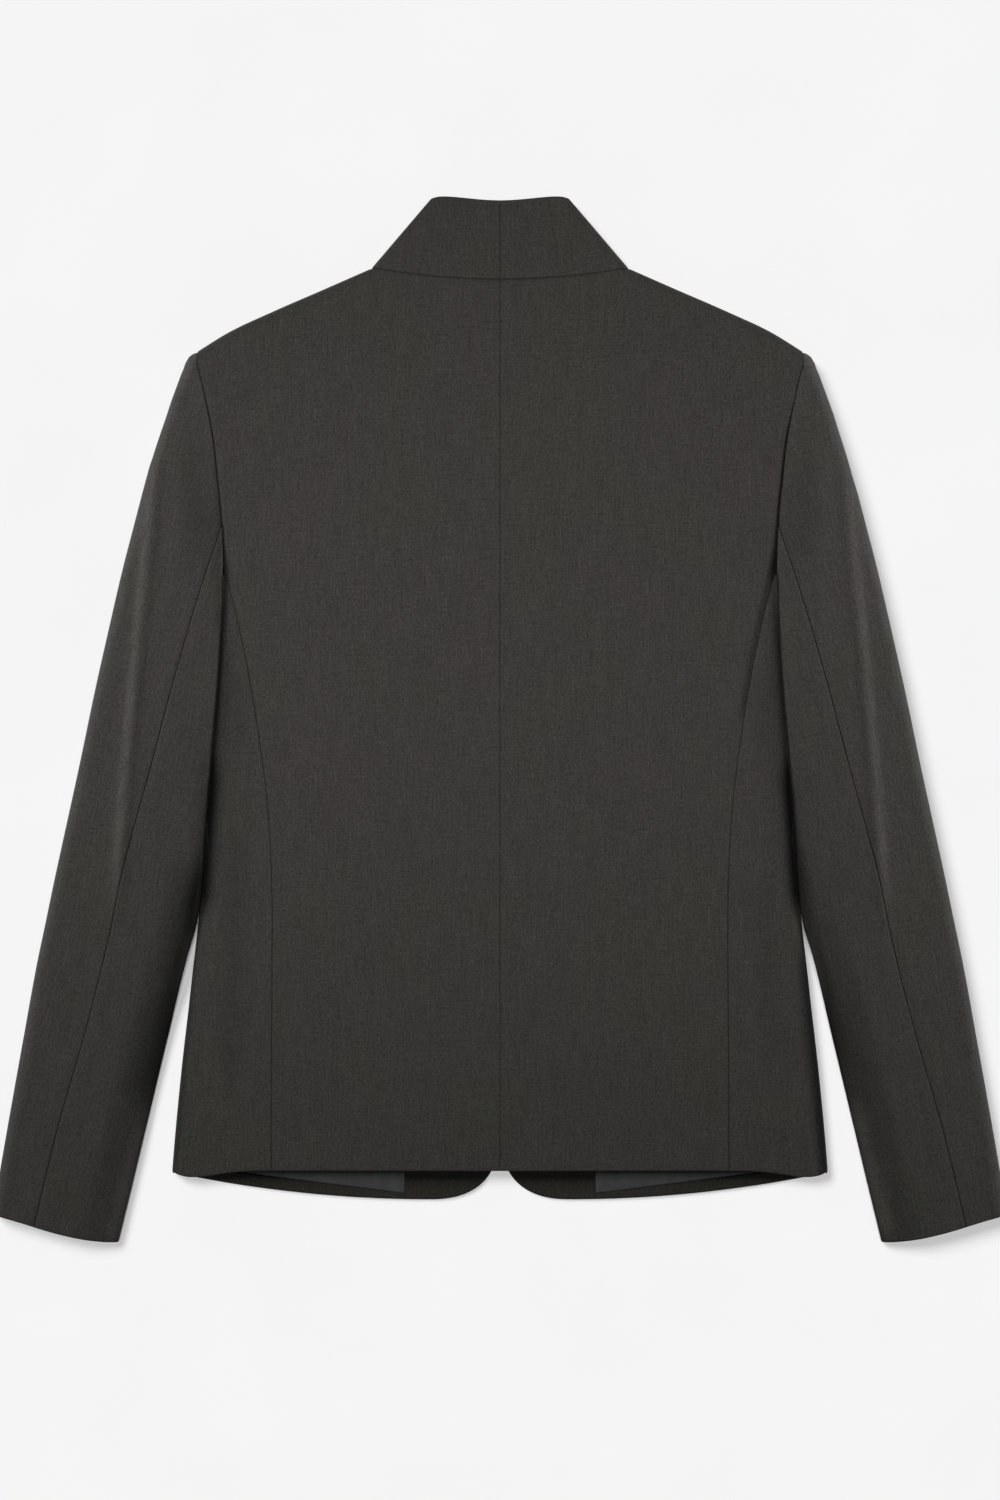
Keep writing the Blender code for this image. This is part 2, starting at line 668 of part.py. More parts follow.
def collar():
    """Half collar, from the centre-back seam round the side fold to the front edge."""
    neck_x = collar_run(NECK_POINT[0])
    neck_back = np.stack([neck_x, back_neck(neck_x)], axis=1)
    low = np.concatenate([neck_back, front_neck()[-2::-1]]) + (0.0, HALF_GAP)

    top_x = collar_run(COLLAR_CORNER[0])
    top_y = COLLAR_BACK_TOP + COLLAR_TOP_LIFT * ease(top_x / COLLAR_CORNER[0])
    front_x = np.linspace(COLLAR_CORNER[0] - COLLAR_ROUND, FRONT_EDGE, len(FRONT_NECK_TURNS) - 1)
    slope = (front_x / COLLAR_CORNER[0]) ** COLLAR_FRONT_POWER
    front_y = between(COLLAR_FRONT_TOP, COLLAR_CORNER[1], slope)
    high = np.concatenate([np.stack([top_x, top_y], axis=1), np.stack([front_x, front_y], axis=1)])

    rows = np.linspace(0.0, 1.0, COLLAR_ROWS + 1)[:, None, None]
    plan = between(low[None], high[None], rows)
    layer = np.sign(len(neck_x) - 1 - np.arange(len(low)))
    points, normals = cloth(plan[..., 0], plan[..., 1], layer[None, :], body_top, floor, COLLAR_LINE)
    level = unit(normals * np.array((1.0, 0.0, 1.0)))
    return points, level


def turn_up_edge(x):
    """Upper edge of the hem turn-up."""
    run = TURN_UP_HIGH[0] - TURN_UP_LOW[0]
    return between(TURN_UP_LOW[1], TURN_UP_HIGH[1], (x - TURN_UP_LOW[0]) / run)


def strip(start, end, low, high, thickness, power):
    """Flat strip on the inside of the front, between two lines across."""
    x = between(start, end, np.linspace(0.0, 1.0, STRIP_COLUMNS + 1) ** power)
    y = np.stack([low(x), high(x)])
    x = np.stack([x, x])
    points = np.stack([x, y, np.full_like(x, WALL + SEAM_GAP + thickness)], axis=-1)
    return points, np.broadcast_to(np.array((0.0, 0.0, 1.0)), points.shape)


def strip_top(x):
    """Hidden upper end of the strips inside the hem."""
    return np.full_like(x, STRIP_TOP)


def inset_outline(x):
    """Lower edge of the strips, just inside the front's own edge."""
    return front_outline(x) + STRIP_INSET


def facing():
    """Front facing, along the front edge."""
    start = FRONT_EDGE + STRIP_INSET
    return strip(start, FACING_EDGE - HALF_GAP, inset_outline, strip_top, FACING_WALL, 2)


def turn_up():
    """Hem turned up inside the front, beside the facing."""
    start = FACING_EDGE + HALF_GAP
    return strip(start, STRIP_END, inset_outline, lambda x: turn_up_edge(x) - HALF_GAP, FACING_WALL, 1)


def lining():
    """Lining inside the front, above the hem turn-up."""
    start = FACING_EDGE + HALF_GAP
    return strip(start, STRIP_END, lambda x: turn_up_edge(x) + HALF_GAP, strip_top, LINING_WALL, 1)


def main():
    """Make every piece for the right (+X) and the left (-X) side."""
    for old in list(bpy.data.objects):
        bpy.data.objects.remove(old)
    pieces = (
        ("back", back, WALL, WOOL),
        ("side", side_panel, WALL, WOOL),
        ("front", front, WALL, WOOL),
        ("top_sleeve", top_sleeve, WALL, WOOL),
        ("under_sleeve", under_sleeve, WALL, WOOL),
        ("collar", collar, COLLAR_WALL, WOOL),
        ("facing", facing, FACING_WALL, UNDER_WOOL),
        ("turn_up", turn_up, FACING_WALL, UNDER_WOOL),
        ("lining", lining, LINING_WALL, SATIN),
    )
    for name, shape, thickness, finish in pieces:
        points, normals = shape()
        normals = square_seams(points, normals)
        for hand, side in (("right", 1), ("left", -1)):
            wall(f"{name}_{hand}", points, normals, thickness, material(finish), side)


main()
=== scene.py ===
"""Dresses the high neck blazer: its cloth panels, seams, stitches and finishes, and the studio.

The frame has +Y towards the collar, +Z up and the floor at z = 0. Sizes are in millimetres up to the
mesh and metres in the mesh. Tables and forms describe the wearer's right half (+X), and each panel is
made once for each side, with creases of its own.
"""

import logging
from collections.abc import Callable, Sequence
from dataclasses import dataclass
from enum import Enum
from typing import NamedTuple

import bpy
import numpy as np
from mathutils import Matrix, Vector


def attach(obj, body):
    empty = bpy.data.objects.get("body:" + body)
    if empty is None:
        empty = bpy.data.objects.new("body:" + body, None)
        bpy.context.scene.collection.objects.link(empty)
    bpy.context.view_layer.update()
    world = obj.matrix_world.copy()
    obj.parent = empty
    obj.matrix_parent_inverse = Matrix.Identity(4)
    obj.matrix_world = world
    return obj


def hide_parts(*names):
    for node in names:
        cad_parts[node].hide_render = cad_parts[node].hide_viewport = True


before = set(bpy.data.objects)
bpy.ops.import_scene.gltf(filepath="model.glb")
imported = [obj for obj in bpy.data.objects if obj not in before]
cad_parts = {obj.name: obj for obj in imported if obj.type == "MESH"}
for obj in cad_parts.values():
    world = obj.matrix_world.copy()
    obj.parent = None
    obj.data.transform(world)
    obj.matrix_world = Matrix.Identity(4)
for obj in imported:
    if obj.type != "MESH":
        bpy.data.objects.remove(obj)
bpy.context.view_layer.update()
LOG = logging.getLogger("blazer")

MILLIMETRE = 0.001
Array = np.ndarray
Line = Callable[[Array], Array]
Surface = Callable[[Array, Array], Array]

# Gap between sewn panels, and what each half stands off the centre back
SEAM_GAP = 0.1
HALF_GAP = SEAM_GAP / 2
CENTRE_GAP = 0.004

# Spacing of the panels' points: close together along the edges, even between them
EDGE_STEPS = np.array((0.0, 0.12, 0.35, 0.8, 1.6, 3.0))
POINT_SPACING = 2.6
BEND_STEPS = 8
CLOSE_SHARE = 0.4
FOLD_SHARE = 0.6
OUTLINE_POINTS = 160
SLOPE_STEP = 0.5
CROSSINGS = 12
HALVINGS = 30
SHARP_ANGLE = 70.0
FAR = 100.0


class Side(Enum):
    """Half of the blazer, with the sign of its X places."""

    RIGHT = 1
    LEFT = -1


class Edge(Enum):
    """How an edge of a cut piece is finished."""

    SEAM = "sewn to its neighbour"
    FOLDED = "turned in and pressed"
    HIDDEN = "left flat under another piece"


class Edges(NamedTuple):
    """Finish of a piece's four edges: its first and last rows, then its first and last columns."""

    first_row: Edge
    last_row: Edge
    first_column: Edge
    last_column: Edge


class BodyRow(NamedTuple):
    """Places across the body at one height."""

    y: float
    side_edge: float
    side_back_seam: float
    side_front_seam: float


class HeightRow(NamedTuple):
    """Height of the laid back at the centre and at its reach to the side."""

    y: float
    centre: float
    side: float
    reach: float


class ArmholeRow(NamedTuple):
    """Armhole seams of the back and the front."""

    y: float
    back: float
    front: float


class PlanPoint(NamedTuple):
    """Point of an edge seen from above."""

    x: float
    y: float


class CapRow(NamedTuple):
    """Outer fold of the sleeve above the elbow seam."""

    y: float
    outer_edge: float


class SleeveRow(NamedTuple):
    """Places across the sleeve at one height."""

    y: float
    outer_edge: float
    inner_edge: float
    elbow_seam: float
    inseam: float
    inner_round: float


class SleeveHeightRow(NamedTuple):
    """Height of the sleeve at its edge and its crown."""

    y: float
    edge: float
    crown: float


class Reach(Enum):
    """Part of a panel that a crease bends."""

    FACE = "upper face, up to the fold"
    OVER = "upper face and round the fold"
    UNDER = "lower face"


class Crease(NamedTuple):
    """Soft ridge, or trough where its height is below zero, along a bowed line seen from above.

    Its shade is how many times its height sets its painted highlight on a ridge and painted shade in a
    trough.
    """

    start: tuple[float, float]
    end: tuple[float, float]
    bow: float
    width: float
    height: float
    reach: Reach = Reach.OVER
    shade: float = 1.0


class Column(NamedTuple):
    """Line along a folded panel: its place across, and 1 above the fold, 0 on it and -1 below."""

    place: Line
    layer: int


BODY_ROWS = tuple(BodyRow(*row) for row in (
    (-330.0, 224.0, 155.0, 172.0),
    (-306.0, 222.4, 155.0, 172.0),
    (-238.0, 216.2, 154.8, 171.0),
    (-184.0, 210.1, 154.4, 171.0),
    (-110.0, 203.0, 154.6, 172.0),
    (-61.0, 203.5, 157.1, 174.0),
    (-7.0, 207.0, 163.9, 178.5),
    (47.0, 213.0, 173.4, 184.5),
    (75.0, 215.0, 179.6, 188.0),
    (100.0, 216.0, 187.0, 192.6),
))

HEIGHT_ROWS = tuple(HeightRow(*row) for row in (
    (-330.0, 10.6, 8.8, 222.0),
    (-238.0, 11.4, 9.0, 215.0),
    (-110.0, 12.0, 9.0, 203.0),
    (-7.0, 12.0, 9.0, 206.0),
    (60.0, 12.1, 9.2, 208.0),
    (98.0, 12.3, 9.6, 197.0),
    (122.0, 12.5, 11.3, 191.0),
    (150.0, 12.7, 12.9, 190.0),
    (200.0, 13.0, 14.6, 196.0),
    (249.0, 13.0, 15.8, 205.0),
    (306.0, 12.6, 15.8, 205.0),
    (356.0, 11.4, 14.0, 205.0),
))

ARMHOLE_ROWS = tuple(ArmholeRow(*row) for row in (
    (249.2, 204.9, 204.5),
    (244.5, 204.9, 203.4),
    (224.1, 200.6, 198.4),
    (203.7, 196.5, 194.4),
    (183.3, 193.1, 191.0),
    (162.9, 191.1, 189.0),
    (142.5, 189.0, 188.4),
    (122.1, 187.7, 189.4),
    (100.0, 187.0, 193.0),
))

SHOULDER_POINTS = tuple(PlanPoint(*row) for row in (
    (87.0, 305.7),
    (121.0, 290.7),
    (153.7, 276.4),
    (186.3, 260.8),
    (204.7, 249.2),
))

CAP_ROWS = tuple(CapRow(*row) for row in (
    (249.2, 204.7),
    (245.8, 210.2),
    (237.7, 214.4),
    (224.1, 219.6),
    (196.9, 229.2),
    (156.1, 241.4),
    (131.0, 248.1),
))

SLEEVE_ROWS = tuple(SleeveRow(*row) for row in (
    (131.0, 248.1, 176.3, 188.3, 188.8, 2.0),
    (121.5, 250.6, 179.5, 191.4, 189.5, 2.0),
    (110.0, 253.6, 183.4, 195.2, 190.8, 2.0),
    (98.0, 256.6, 187.0, 199.1, 193.6, 2.0),
    (80.0, 260.8, 187.7, 204.8, 205.0, 2.5),
    (62.0, 264.9, 188.4, 210.2, 219.5, 2.9),
    (27.0, 272.8, 190.4, 220.2, 226.5, 2.9),
    (-34.0, 285.6, 195.8, 236.4, 233.5, 2.9),
    (-82.0, 296.1, 199.4, 249.6, 238.5, 2.9),
    (-110.0, 302.2, 201.2, 256.6, 241.5, 2.9),
    (-136.0, 307.6, 204.6, 261.8, 245.0, 5.0),
    (-163.0, 313.3, 212.4, 267.9, 249.5, 9.0),
    (-218.0, 323.4, 226.0, 282.2, 259.5, 14.0),
    (-272.0, 333.1, 239.0, 297.8, 270.0, 14.0),
    (-327.0, 342.6, 252.2, 311.4, 281.5, 11.0),
    (-358.0, 347.6, 259.8, 318.6, 288.0, 9.0),
))

SLEEVE_HEIGHT_ROWS = tuple(SleeveHeightRow(*row) for row in (
    (249.0, 15.8, 16.2),
    (224.0, 15.2, 16.8),
    (200.0, 14.6, 17.2),
    (150.0, 12.9, 17.2),
    (122.0, 12.2, 16.8),
    (98.0, 14.2, 16.4),
    (62.0, 15.6, 16.4),
    (-34.0, 15.5, 16.2),
    (-110.0, 14.6, 15.8),
    (-150.0, 12.0, 15.2),
    (-218.0, 8.6, 14.2),
    (-358.0, 7.6, 12.4),
))

CUFF_POINTS = tuple(PlanPoint(*row) for row in (
    (255.0, -355.2),
    (272.0, -353.9),
    (299.2, -348.5),
    (326.4, -340.3),
    (346.0, -334.6),
))

# Long pressed ridge of each sleeve, which runs over the elbow seam at its lower end, with a painted highlight
# along its top
RIDGE_RIGHT = Crease((228.5, 200.0), (263.0, -166.0), 2.4, 4.8, 1.5)
RIDGE_LEFT = Crease((228.5, 205.0), (262.0, -160.0), 2.2, 4.8, 1.9, shade=0.85)

# Upper part of each sleeve's inner fold, given a painted highlight though hardly raised
PAINTED_EDGE_HIGHLIGHT = Crease((185.6, 122.0), (199.2, -66.0), -2.0, 2.0, 0.14, Reach.FACE, 28.0)

# Creases of the laid cloth, by piece, with X measured outwards from the centre back on either side. A
# deep trough also gets painted shade and a high ridge a painted highlight; a shade far above 1 paints
# these where the cloth is hardly raised or sunk.
CREASES: dict[str, tuple[Crease, ...]] = {
    "back_right": (
        Crease((199.5, 218.0), (186.4, 78.0), -2.8, 2.8, -2.2),
        # Painted shade beside the right side-back seam, where the cloth is barely sunk
        Crease((190.0, 124.0), (161.0, -18.0), -2.2, 3.4, -0.4, shade=5.0),
        Crease((-20.0, 297.6), (84.0, 305.2), -1.8, 1.2, -1.0),
        Crease((154.0, 252.0), (150.0, 196.0), 0.0, 9.0, -0.40),
        Crease((20.0, 24.0), (97.0, 112.0), -4.0, 11.0, -0.35),
        Crease((104.0, -236.0), (102.0, -303.0), 1.0, 9.0, -0.45),
        Crease((34.0, -40.0), (52.0, -210.0), 5.0, 17.0, 0.40),
        Crease((128.0, 40.0), (118.0, -96.0), -5.0, 15.0, 0.35),
    ),
    "back_left": (
        Crease((201.0, 226.0), (184.5, 50.0), -3.0, 1.9, -2.0),
        Crease((-20.0, 297.6), (84.0, 305.2), -1.8, 1.1, -0.9),
        Crease((148.0, 60.0), (143.0, -54.0), 1.0, 9.0, -0.55),
        Crease((141.0, -224.0), (138.0, -304.0), -1.0, 8.0, -0.50),
        Crease((176.0, 196.0), (172.0, 118.0), 0.0, 8.0, -0.45),
        Crease((22.0, 70.0), (36.0, -170.0), 4.0, 15.0, 0.40),
        Crease((98.0, -60.0), (62.0, 30.0), 6.0, 14.0, -0.30),
    ),
    "side_right": (
        # Painted shade in the crevice under the sleeve and along the lower side fold
        Crease((186.0, 104.0), (203.5, -138.0), -0.6, 1.7, -1.8, Reach.FACE),
        Crease((196.5, -20.0), (204.0, -142.0), 0.4, 7.0, -2.6, Reach.FACE),
        Crease((205.0, -128.0), (225.5, -345.0), 0.0, 7.0, -0.15, Reach.FACE, 20.0),
        Crease((180.0, 96.0), (186.0, -290.0), -3.0, 18.0, -0.9),
        Crease((195.0, -196.0), (200.0, -282.0), 1.0, 7.0, -0.35),
        Crease((172.0, -30.0), (178.0, -120.0), 0.0, 8.0, 0.25),
    ),
    "side_left": (
        # Painted shade in the crevice under the sleeve and along the lower side fold
        Crease((182.5, 150.0), (203.5, -140.0), -0.6, 1.7, -2.3, Reach.FACE),
        Crease((196.0, -18.0), (204.5, -142.0), 0.4, 8.0, -2.6, Reach.FACE),
        Crease((205.0, -128.0), (225.5, -345.0), 0.0, 4.5, -0.10, Reach.FACE, 17.0),
        Crease((180.0, 92.0), (184.0, -284.0), -3.0, 18.0, -1.0),
        Crease((182.0, -214.0), (188.0, -294.0), -1.0, 8.0, -0.45),
        Crease((176.0, -10.0), (180.0, -86.0), 0.0, 7.0, 0.25),
    ),
    "top_sleeve_right": (
        RIDGE_RIGHT,
        Crease((222.0, 206.0), (238.0, 150.0), 3.0, 8.0, -0.35),
        Crease((270.0, -178.0), (296.0, -262.0), -3.0, 9.0, -0.35),
    ),
    "top_sleeve_left": (
        RIDGE_LEFT,
        Crease((191.5, 190.0), (188.0, 112.0), -1.0, 2.6, -1.0, Reach.FACE),
        Crease((218.0, 214.0), (234.0, 168.0), 3.0, 9.0, -0.35),
        Crease((276.0, -150.0), (292.0, -236.0), -3.0, 10.0, -0.40),
    ),
    "under_sleeve_right": (
        RIDGE_RIGHT,
        PAINTED_EDGE_HIGHLIGHT,
        # Painted shade down the sleeve's inner fold, and a painted highlight along its lower end
        Crease((195.0, -62.0), (237.0, -260.0), -2.9, 8.5, -0.5, Reach.FACE, 3.4),
        Crease((234.0, -248.0), (262.8, -366.0), 0.0, 8.0, 1.0, Reach.FACE, 3.2),
        Crease((194.0, -30.0), (206.0, -156.0), 0.0, 5.0, -0.9, Reach.FACE),
        Crease((226.0, -190.0), (250.0, -207.0), 1.0, 4.4, -0.20),
        Crease((240.0, -249.0), (260.0, -260.0), -1.0, 5.0, 0.18),
        Crease((250.0, -290.0), (272.0, -303.0), 1.5, 4.6, -0.18),
        Crease((226.0, -60.0), (220.0, -130.0), 2.0, 7.0, -0.35),
    ),
    "under_sleeve_left": (
        RIDGE_LEFT,
        PAINTED_EDGE_HIGHLIGHT,
        # Painted shade down the sleeve's inner fold, and a painted highlight along its lower end
        Crease((197.0, -80.0), (244.0, -290.0), -2.9, 22.0, -0.8, Reach.FACE, 2.2),
        Crease((195.5, -64.0), (243.0, -284.0), -3.0, 8.5, -0.3, Reach.FACE, 3.4),
        Crease((237.5, -262.0), (262.8, -366.0), 0.0, 8.0, 0.8, Reach.FACE, 2.7),
        Crease((194.0, -10.0), (206.0, -158.0), 0.0, 6.0, -1.2, Reach.FACE),
        Crease((222.0, -178.0), (246.0, -190.0), -1.0, 5.2, 0.20),
        Crease((240.0, -240.0), (262.0, -258.0), 1.0, 5.4, -0.16),
        Crease((250.0, -186.0), (268.0, -194.0), 0.5, 4.0, -0.18),
        Crease((222.0, -40.0), (216.0, -118.0), 2.0, 8.0, -0.35),
        Crease((188.0, 132.0), (188.4, 52.0), 0.0, 3.0, -1.0, Reach.FACE),
    ),
    "collar_right": (
        Crease((16.0, 318.0), (52.0, 330.0), 2.0, 7.0, -0.25),
    ),
    "collar_left": (
        Crease((30.0, 346.0), (64.0, 318.0), -2.0, 7.0, -0.25),
    ),
    "lining_right": (
        Crease((88.0, -330.0), (84.0, -262.0), 1.0, 3.6, 0.50),
        Crease((112.0, -326.0), (114.0, -268.0), -1.0, 4.4, 0.35),
        Crease((137.0, -322.0), (132.0, -270.0), 0.6, 3.2, 0.40),
    ),
    "lining_left": (
        Crease((81.0, -330.0), (85.0, -266.0), -0.8, 3.8, 0.45),
        Crease((99.0, -328.0), (97.0, -258.0), 1.2, 4.8, 0.50),
        Crease((124.0, -324.0), (128.0, -272.0), 0.5, 3.0, 0.35),
    ),
    "front_right": (
        Crease((120.0, 30.0), (70.0, -110.0), 6.0, 12.0, -0.50, Reach.UNDER),
        Crease((150.0, 170.0), (120.0, 90.0), -4.0, 9.0, -0.40, Reach.UNDER),
    ),
    "front_left": (
        Crease((128.0, 60.0), (84.0, -70.0), 5.0, 11.0, -0.45, Reach.UNDER),
        Crease((146.0, 150.0), (110.0, 96.0), -5.0, 10.0, -0.40, Reach.UNDER),
    ),
}


def through(at: Array, table: Sequence[NamedTuple], column: str, along: str = "y") -> Array:
    """Smooth curve through one column of a table.

    Args:
        at: Places at which the curve is read.
        table: Rows of the table.
        column: Name of the column that gives the values.
        along: Name of the column that gives the places.

    Returns:
        The curve's values at those places, held level past the table's ends.
    """
    rows = sorted(table, key=lambda row: getattr(row, along))
    places = np.array([getattr(row, along) for row in rows])
    values = np.array([getattr(row, column) for row in rows])
    slopes = np.gradient(values, places)
    at = np.clip(at, places[0], places[-1])
    low = np.clip(np.searchsorted(places, at) - 1, 0, len(rows) - 2)
    span = places[low + 1] - places[low]
    t = (at - places[low]) / span
    rise = values[low + 1] - values[low]
    bend_low = slopes[low] * span - rise
    bend_high = rise - slopes[low + 1] * span
    return values[low] + rise * t + t * (1 - t) * ((1 - t) * bend_low + t * bend_high)


def ease(t: Array) -> Array:
    """Rise from 0 to 1 with level ends."""
    t = np.clip(t, 0.0, 1.0)
    return t * t * (3 - 2 * t)


def between(start: Array, end: Array, t: Array) -> Array:
    """Point or number at fraction t from start to end."""
    return start + (end - start) * t


def steady(value: float) -> Line:
    """Line that keeps one value."""
    return lambda at: np.full_like(at, value)


def in_plan(x: Array, y: Array) -> Array:
    """Plan points at places across and along."""
    return np.stack(np.broadcast_arrays(x, y), axis=-1)


def unit(vectors: Array) -> Array:
    """Vectors of the same direction, one long."""
    return vectors / np.linalg.norm(vectors, axis=-1, keepdims=True)


def leftwards(points: Array) -> Array:
    """Directions to the left of a line of plan points, on the way along it."""
    ahead = np.gradient(points, axis=0)
    return unit(in_plan(-ahead[:, 1], ahead[:, 0]))


def shares(length: float) -> Array:
    """Fractions along a length in millimetres, close together at both ends and even between."""
    inside = length - 2 * EDGE_STEPS[-1]
    even = EDGE_STEPS[-1] + np.linspace(0.0, inside, int(inside / POINT_SPACING) + 2)[1:-1]
    return np.concatenate([EDGE_STEPS, even, length - EDGE_STEPS[::-1]]) / length


class Outline:
    """Folded edge seen from above, with the outside on the left of its direction of travel."""

    def __init__(self, points: Array, radius: Line) -> None:
        """Keep the edge and work out the way out of it.

        Args:
            points: Plan points along the edge.
            radius: Radius of the fold at each height.
        """
        self.points = np.asarray(points)
        self.radius = radius
        self.outward = leftwards(self.points)

    @classmethod
    def along(cls, start: float, end: float, edge: Line, radius: Line) -> "Outline":
        """Outline of an edge whose place across is a function of y."""
        places = np.linspace(start, end, OUTLINE_POINTS)
        return cls(in_plan(edge(places), places), radius)

    def nearest(self, x: Array, y: Array) -> tuple[Array, Array]:
        """Measure how far in from the edge plan points lie.

        Args:
            x: Places across.
            y: Places along.

        Returns:
            The distances in from the edge, and the ways out of it.
        """
        starts = self.points[:-1]
        steps = self.points[1:] - starts
        offset = in_plan(x, y)[..., None, :] - starts
        along = np.clip((offset * steps).sum(-1) / (steps * steps).sum(-1), 0.0, 1.0)
        gaps = np.linalg.norm(offset - along[..., None] * steps, axis=-1)
        nearest = np.argmin(gaps, axis=-1)
        gap = np.take_along_axis(gaps, nearest[..., None], -1)[..., 0]
        share = np.take_along_axis(along, nearest[..., None], -1)
        return gap, between(self.outward[nearest], self.outward[nearest + 1], share)


@dataclass
class Cloth:
    """Laid cloth as a grid of points on its outer face.

    Attributes:
        points: Points of the outer face.
        normals: Directions out of the cloth.
        flat: The same points on the cloth before it was folded.
        layer: 1 above the fold, 0 on it and -1 below.
        gap: Distances in from the folded edge, seen from above.
    """

    points: Array
    normals: Array
    flat: Array
    layer: Array
    gap: Array

    def edge_distances(self) -> tuple[Array, Array, Array, Array]:
        """Distances over the cloth from its first and last rows and its first and last columns."""
        down = np.linalg.norm(np.diff(self.points, axis=0), axis=-1).cumsum(axis=0)
        down = np.concatenate([np.zeros_like(down[:1]), down])
        across = np.linalg.norm(np.diff(self.points, axis=1), axis=-1).cumsum(axis=1)
        across = np.concatenate([np.zeros_like(across[:, :1]), across], axis=1)
        return down, down[-1:] - down, across, across[:, -1:] - across


def lay(x: Array, y: Array, layer: Array, top: Surface, bottom: Surface, outline: Outline,
        unfolded: bool = True) -> Cloth:
    """Lay cloth over plan points, between two heights and rounded at a folded edge.

    Args:
        x: Places across.
        y: Places along.
        layer: 1 for the upper side, -1 for the lower side and 0 on the folded edge itself.
        top: Height of the upper face.
        bottom: Height of the lower face.
        outline: The folded edge.
        unfolded: Whether the lower side lies past the folded edge on the flat cloth.

    Returns:
        The laid cloth.
    """
    layer = np.broadcast_to(layer, x.shape)
    gap, way = outline.nearest(x, y)
    radius = outline.radius(y)
    angle = np.arccos(np.clip(1 - gap / radius, 0.0, 1.0))
    half = (top(x, y) - bottom(x, y)) / 2
    z = bottom(x, y) + half + layer * (HALF_GAP + (half - HALF_GAP) * np.sin(angle))

    def face(at_x: Array, at_y: Array) -> Array:
        """Height of the layer's own face."""
        return np.where(layer < 0, bottom(at_x, at_y), top(at_x, at_y))

    across = (face(x + SLOPE_STEP, y) - face(x - SLOPE_STEP, y)) / (2 * SLOPE_STEP)
    along = (face(x, y + SLOPE_STEP) - face(x, y - SLOPE_STEP)) / (2 * SLOPE_STEP)
    level = unit(np.stack([-across, -along, np.ones_like(x)], axis=-1)) * layer[..., None]
    edge = np.concatenate([way, np.zeros_like(way[..., :1])], axis=-1)
    normals = unit(np.cos(angle)[..., None] * edge + np.sin(angle)[..., None] * level)
    arc = radius * angle + np.maximum(gap - radius, 0.0)
    inward = layer if unfolded else np.abs(layer)
    flat = in_plan(x, y) + way * (gap - inward * arc)[..., None]
    return Cloth(np.stack([x, y, z], axis=-1), normals, flat, layer, gap)


def coons(low: Array, high: Array, left: Array, right: Array, across: Array, up: Array) -> Array:
    """Plan points between four edges.

    Args:
        low: Points of the lower edge, at each fraction across.
        high: Points of the upper edge, at each fraction across.
        left: Points of the left edge, at each fraction up.
        right: Points of the right edge, at each fraction up.
        across: Fractions across.
        up: Fractions up.

    Returns:
        A grid of points, row by row.
    """
    s = across[None, :, None]
    t = up[:, None, None]
    corners = between(between(low[:1], low[-1:], s), between(high[:1], high[-1:], s), t)
    return between(low[None], high[None], t) + between(left[:, None], right[:, None], s) - corners


@dataclass(frozen=True)
class Fold:
    """Folded edge that a panel wraps, from its upper seam round to its lower seam.

    Attributes:
        upper: Upper seam's place across.
        lower: Lower seam's place across.
        edge: Folded edge's place across.
        radius: Radius of the fold.
        out: Sign of X on the way out of the fold.
        upper_width: Usual width of the upper side.
        lower_width: Usual width of the lower side.
    """

    upper: Line
    lower: Line
    edge: Line
    radius: Line
    out: int
    upper_width: float
    lower_width: float

    def _reach(self, seam: Line, y: Array) -> Array:
        """Width of the bend on the side of one seam."""
        return np.minimum(self.radius(y), FOLD_SHARE * np.abs(self.edge(y) - seam(y)))

    def _flat_place(self, seam: Line, step: float, share: float) -> Line:
        """Place across of a flat column.

        Args:
            seam: The seam that the column starts from.
            step: Distance from the seam.
            share: Fraction of the rest of the way to the bend.

        Returns:
            The place across as a function of y.
        """
        def place(y: Array) -> Array:
            """Place across at a height."""
            start = seam(y)
            end = self.edge(y) - self.out * self._reach(seam, y)
            crowd = np.minimum(1.0, CLOSE_SHARE * np.abs(end - start) / EDGE_STEPS[-1])
            return between(start + self.out * step * crowd, end, share)
        return place

    def _bend_place(self, seam: Line, angle: float) -> Line:
        """Place across of a column in the bend, at an angle from the edge."""
        return lambda y: self.edge(y) - self.out * self._reach(seam, y) * (1 - np.cos(angle))

    def _half(self, seam: Line, width: float, layer: int) -> list[Column]:
        """Columns from one seam up to the folded edge, without the edge.

        Args:
            seam: The seam's place across.
            width: Usual width of this side.
            layer: 1 above the fold or -1 below it.

        Returns:
            The columns in order from the seam.
        """
        even = np.linspace(0.0, 1.0, int(width / POINT_SPACING) + 1)[1:]
        places = [self._flat_place(seam, step, 0.0) for step in EDGE_STEPS]
        places += [self._flat_place(seam, EDGE_STEPS[-1], share) for share in even]
        angles = np.linspace(np.pi / 2, 0.0, BEND_STEPS + 1)[1:-1]
        places += [self._bend_place(seam, angle) for angle in angles]
        return [Column(place, layer) for place in places]

    def columns(self) -> list[Column]:
        """All columns, from the upper seam round the edge to the lower seam."""
        upper = self._half(self.upper, self.upper_width, 1)
        lower = self._half(self.lower, self.lower_width, -1)
        return upper + [Column(self.edge, 0)] + lower[::-1]


def crossing(column: Column, line: Line, start: float) -> float:
    """Place along a column where it meets a line that runs across, found from a start."""
    y = np.array(float(start))
    for _ in range(CROSSINGS):
        y = line(column.place(y))
    return float(y)


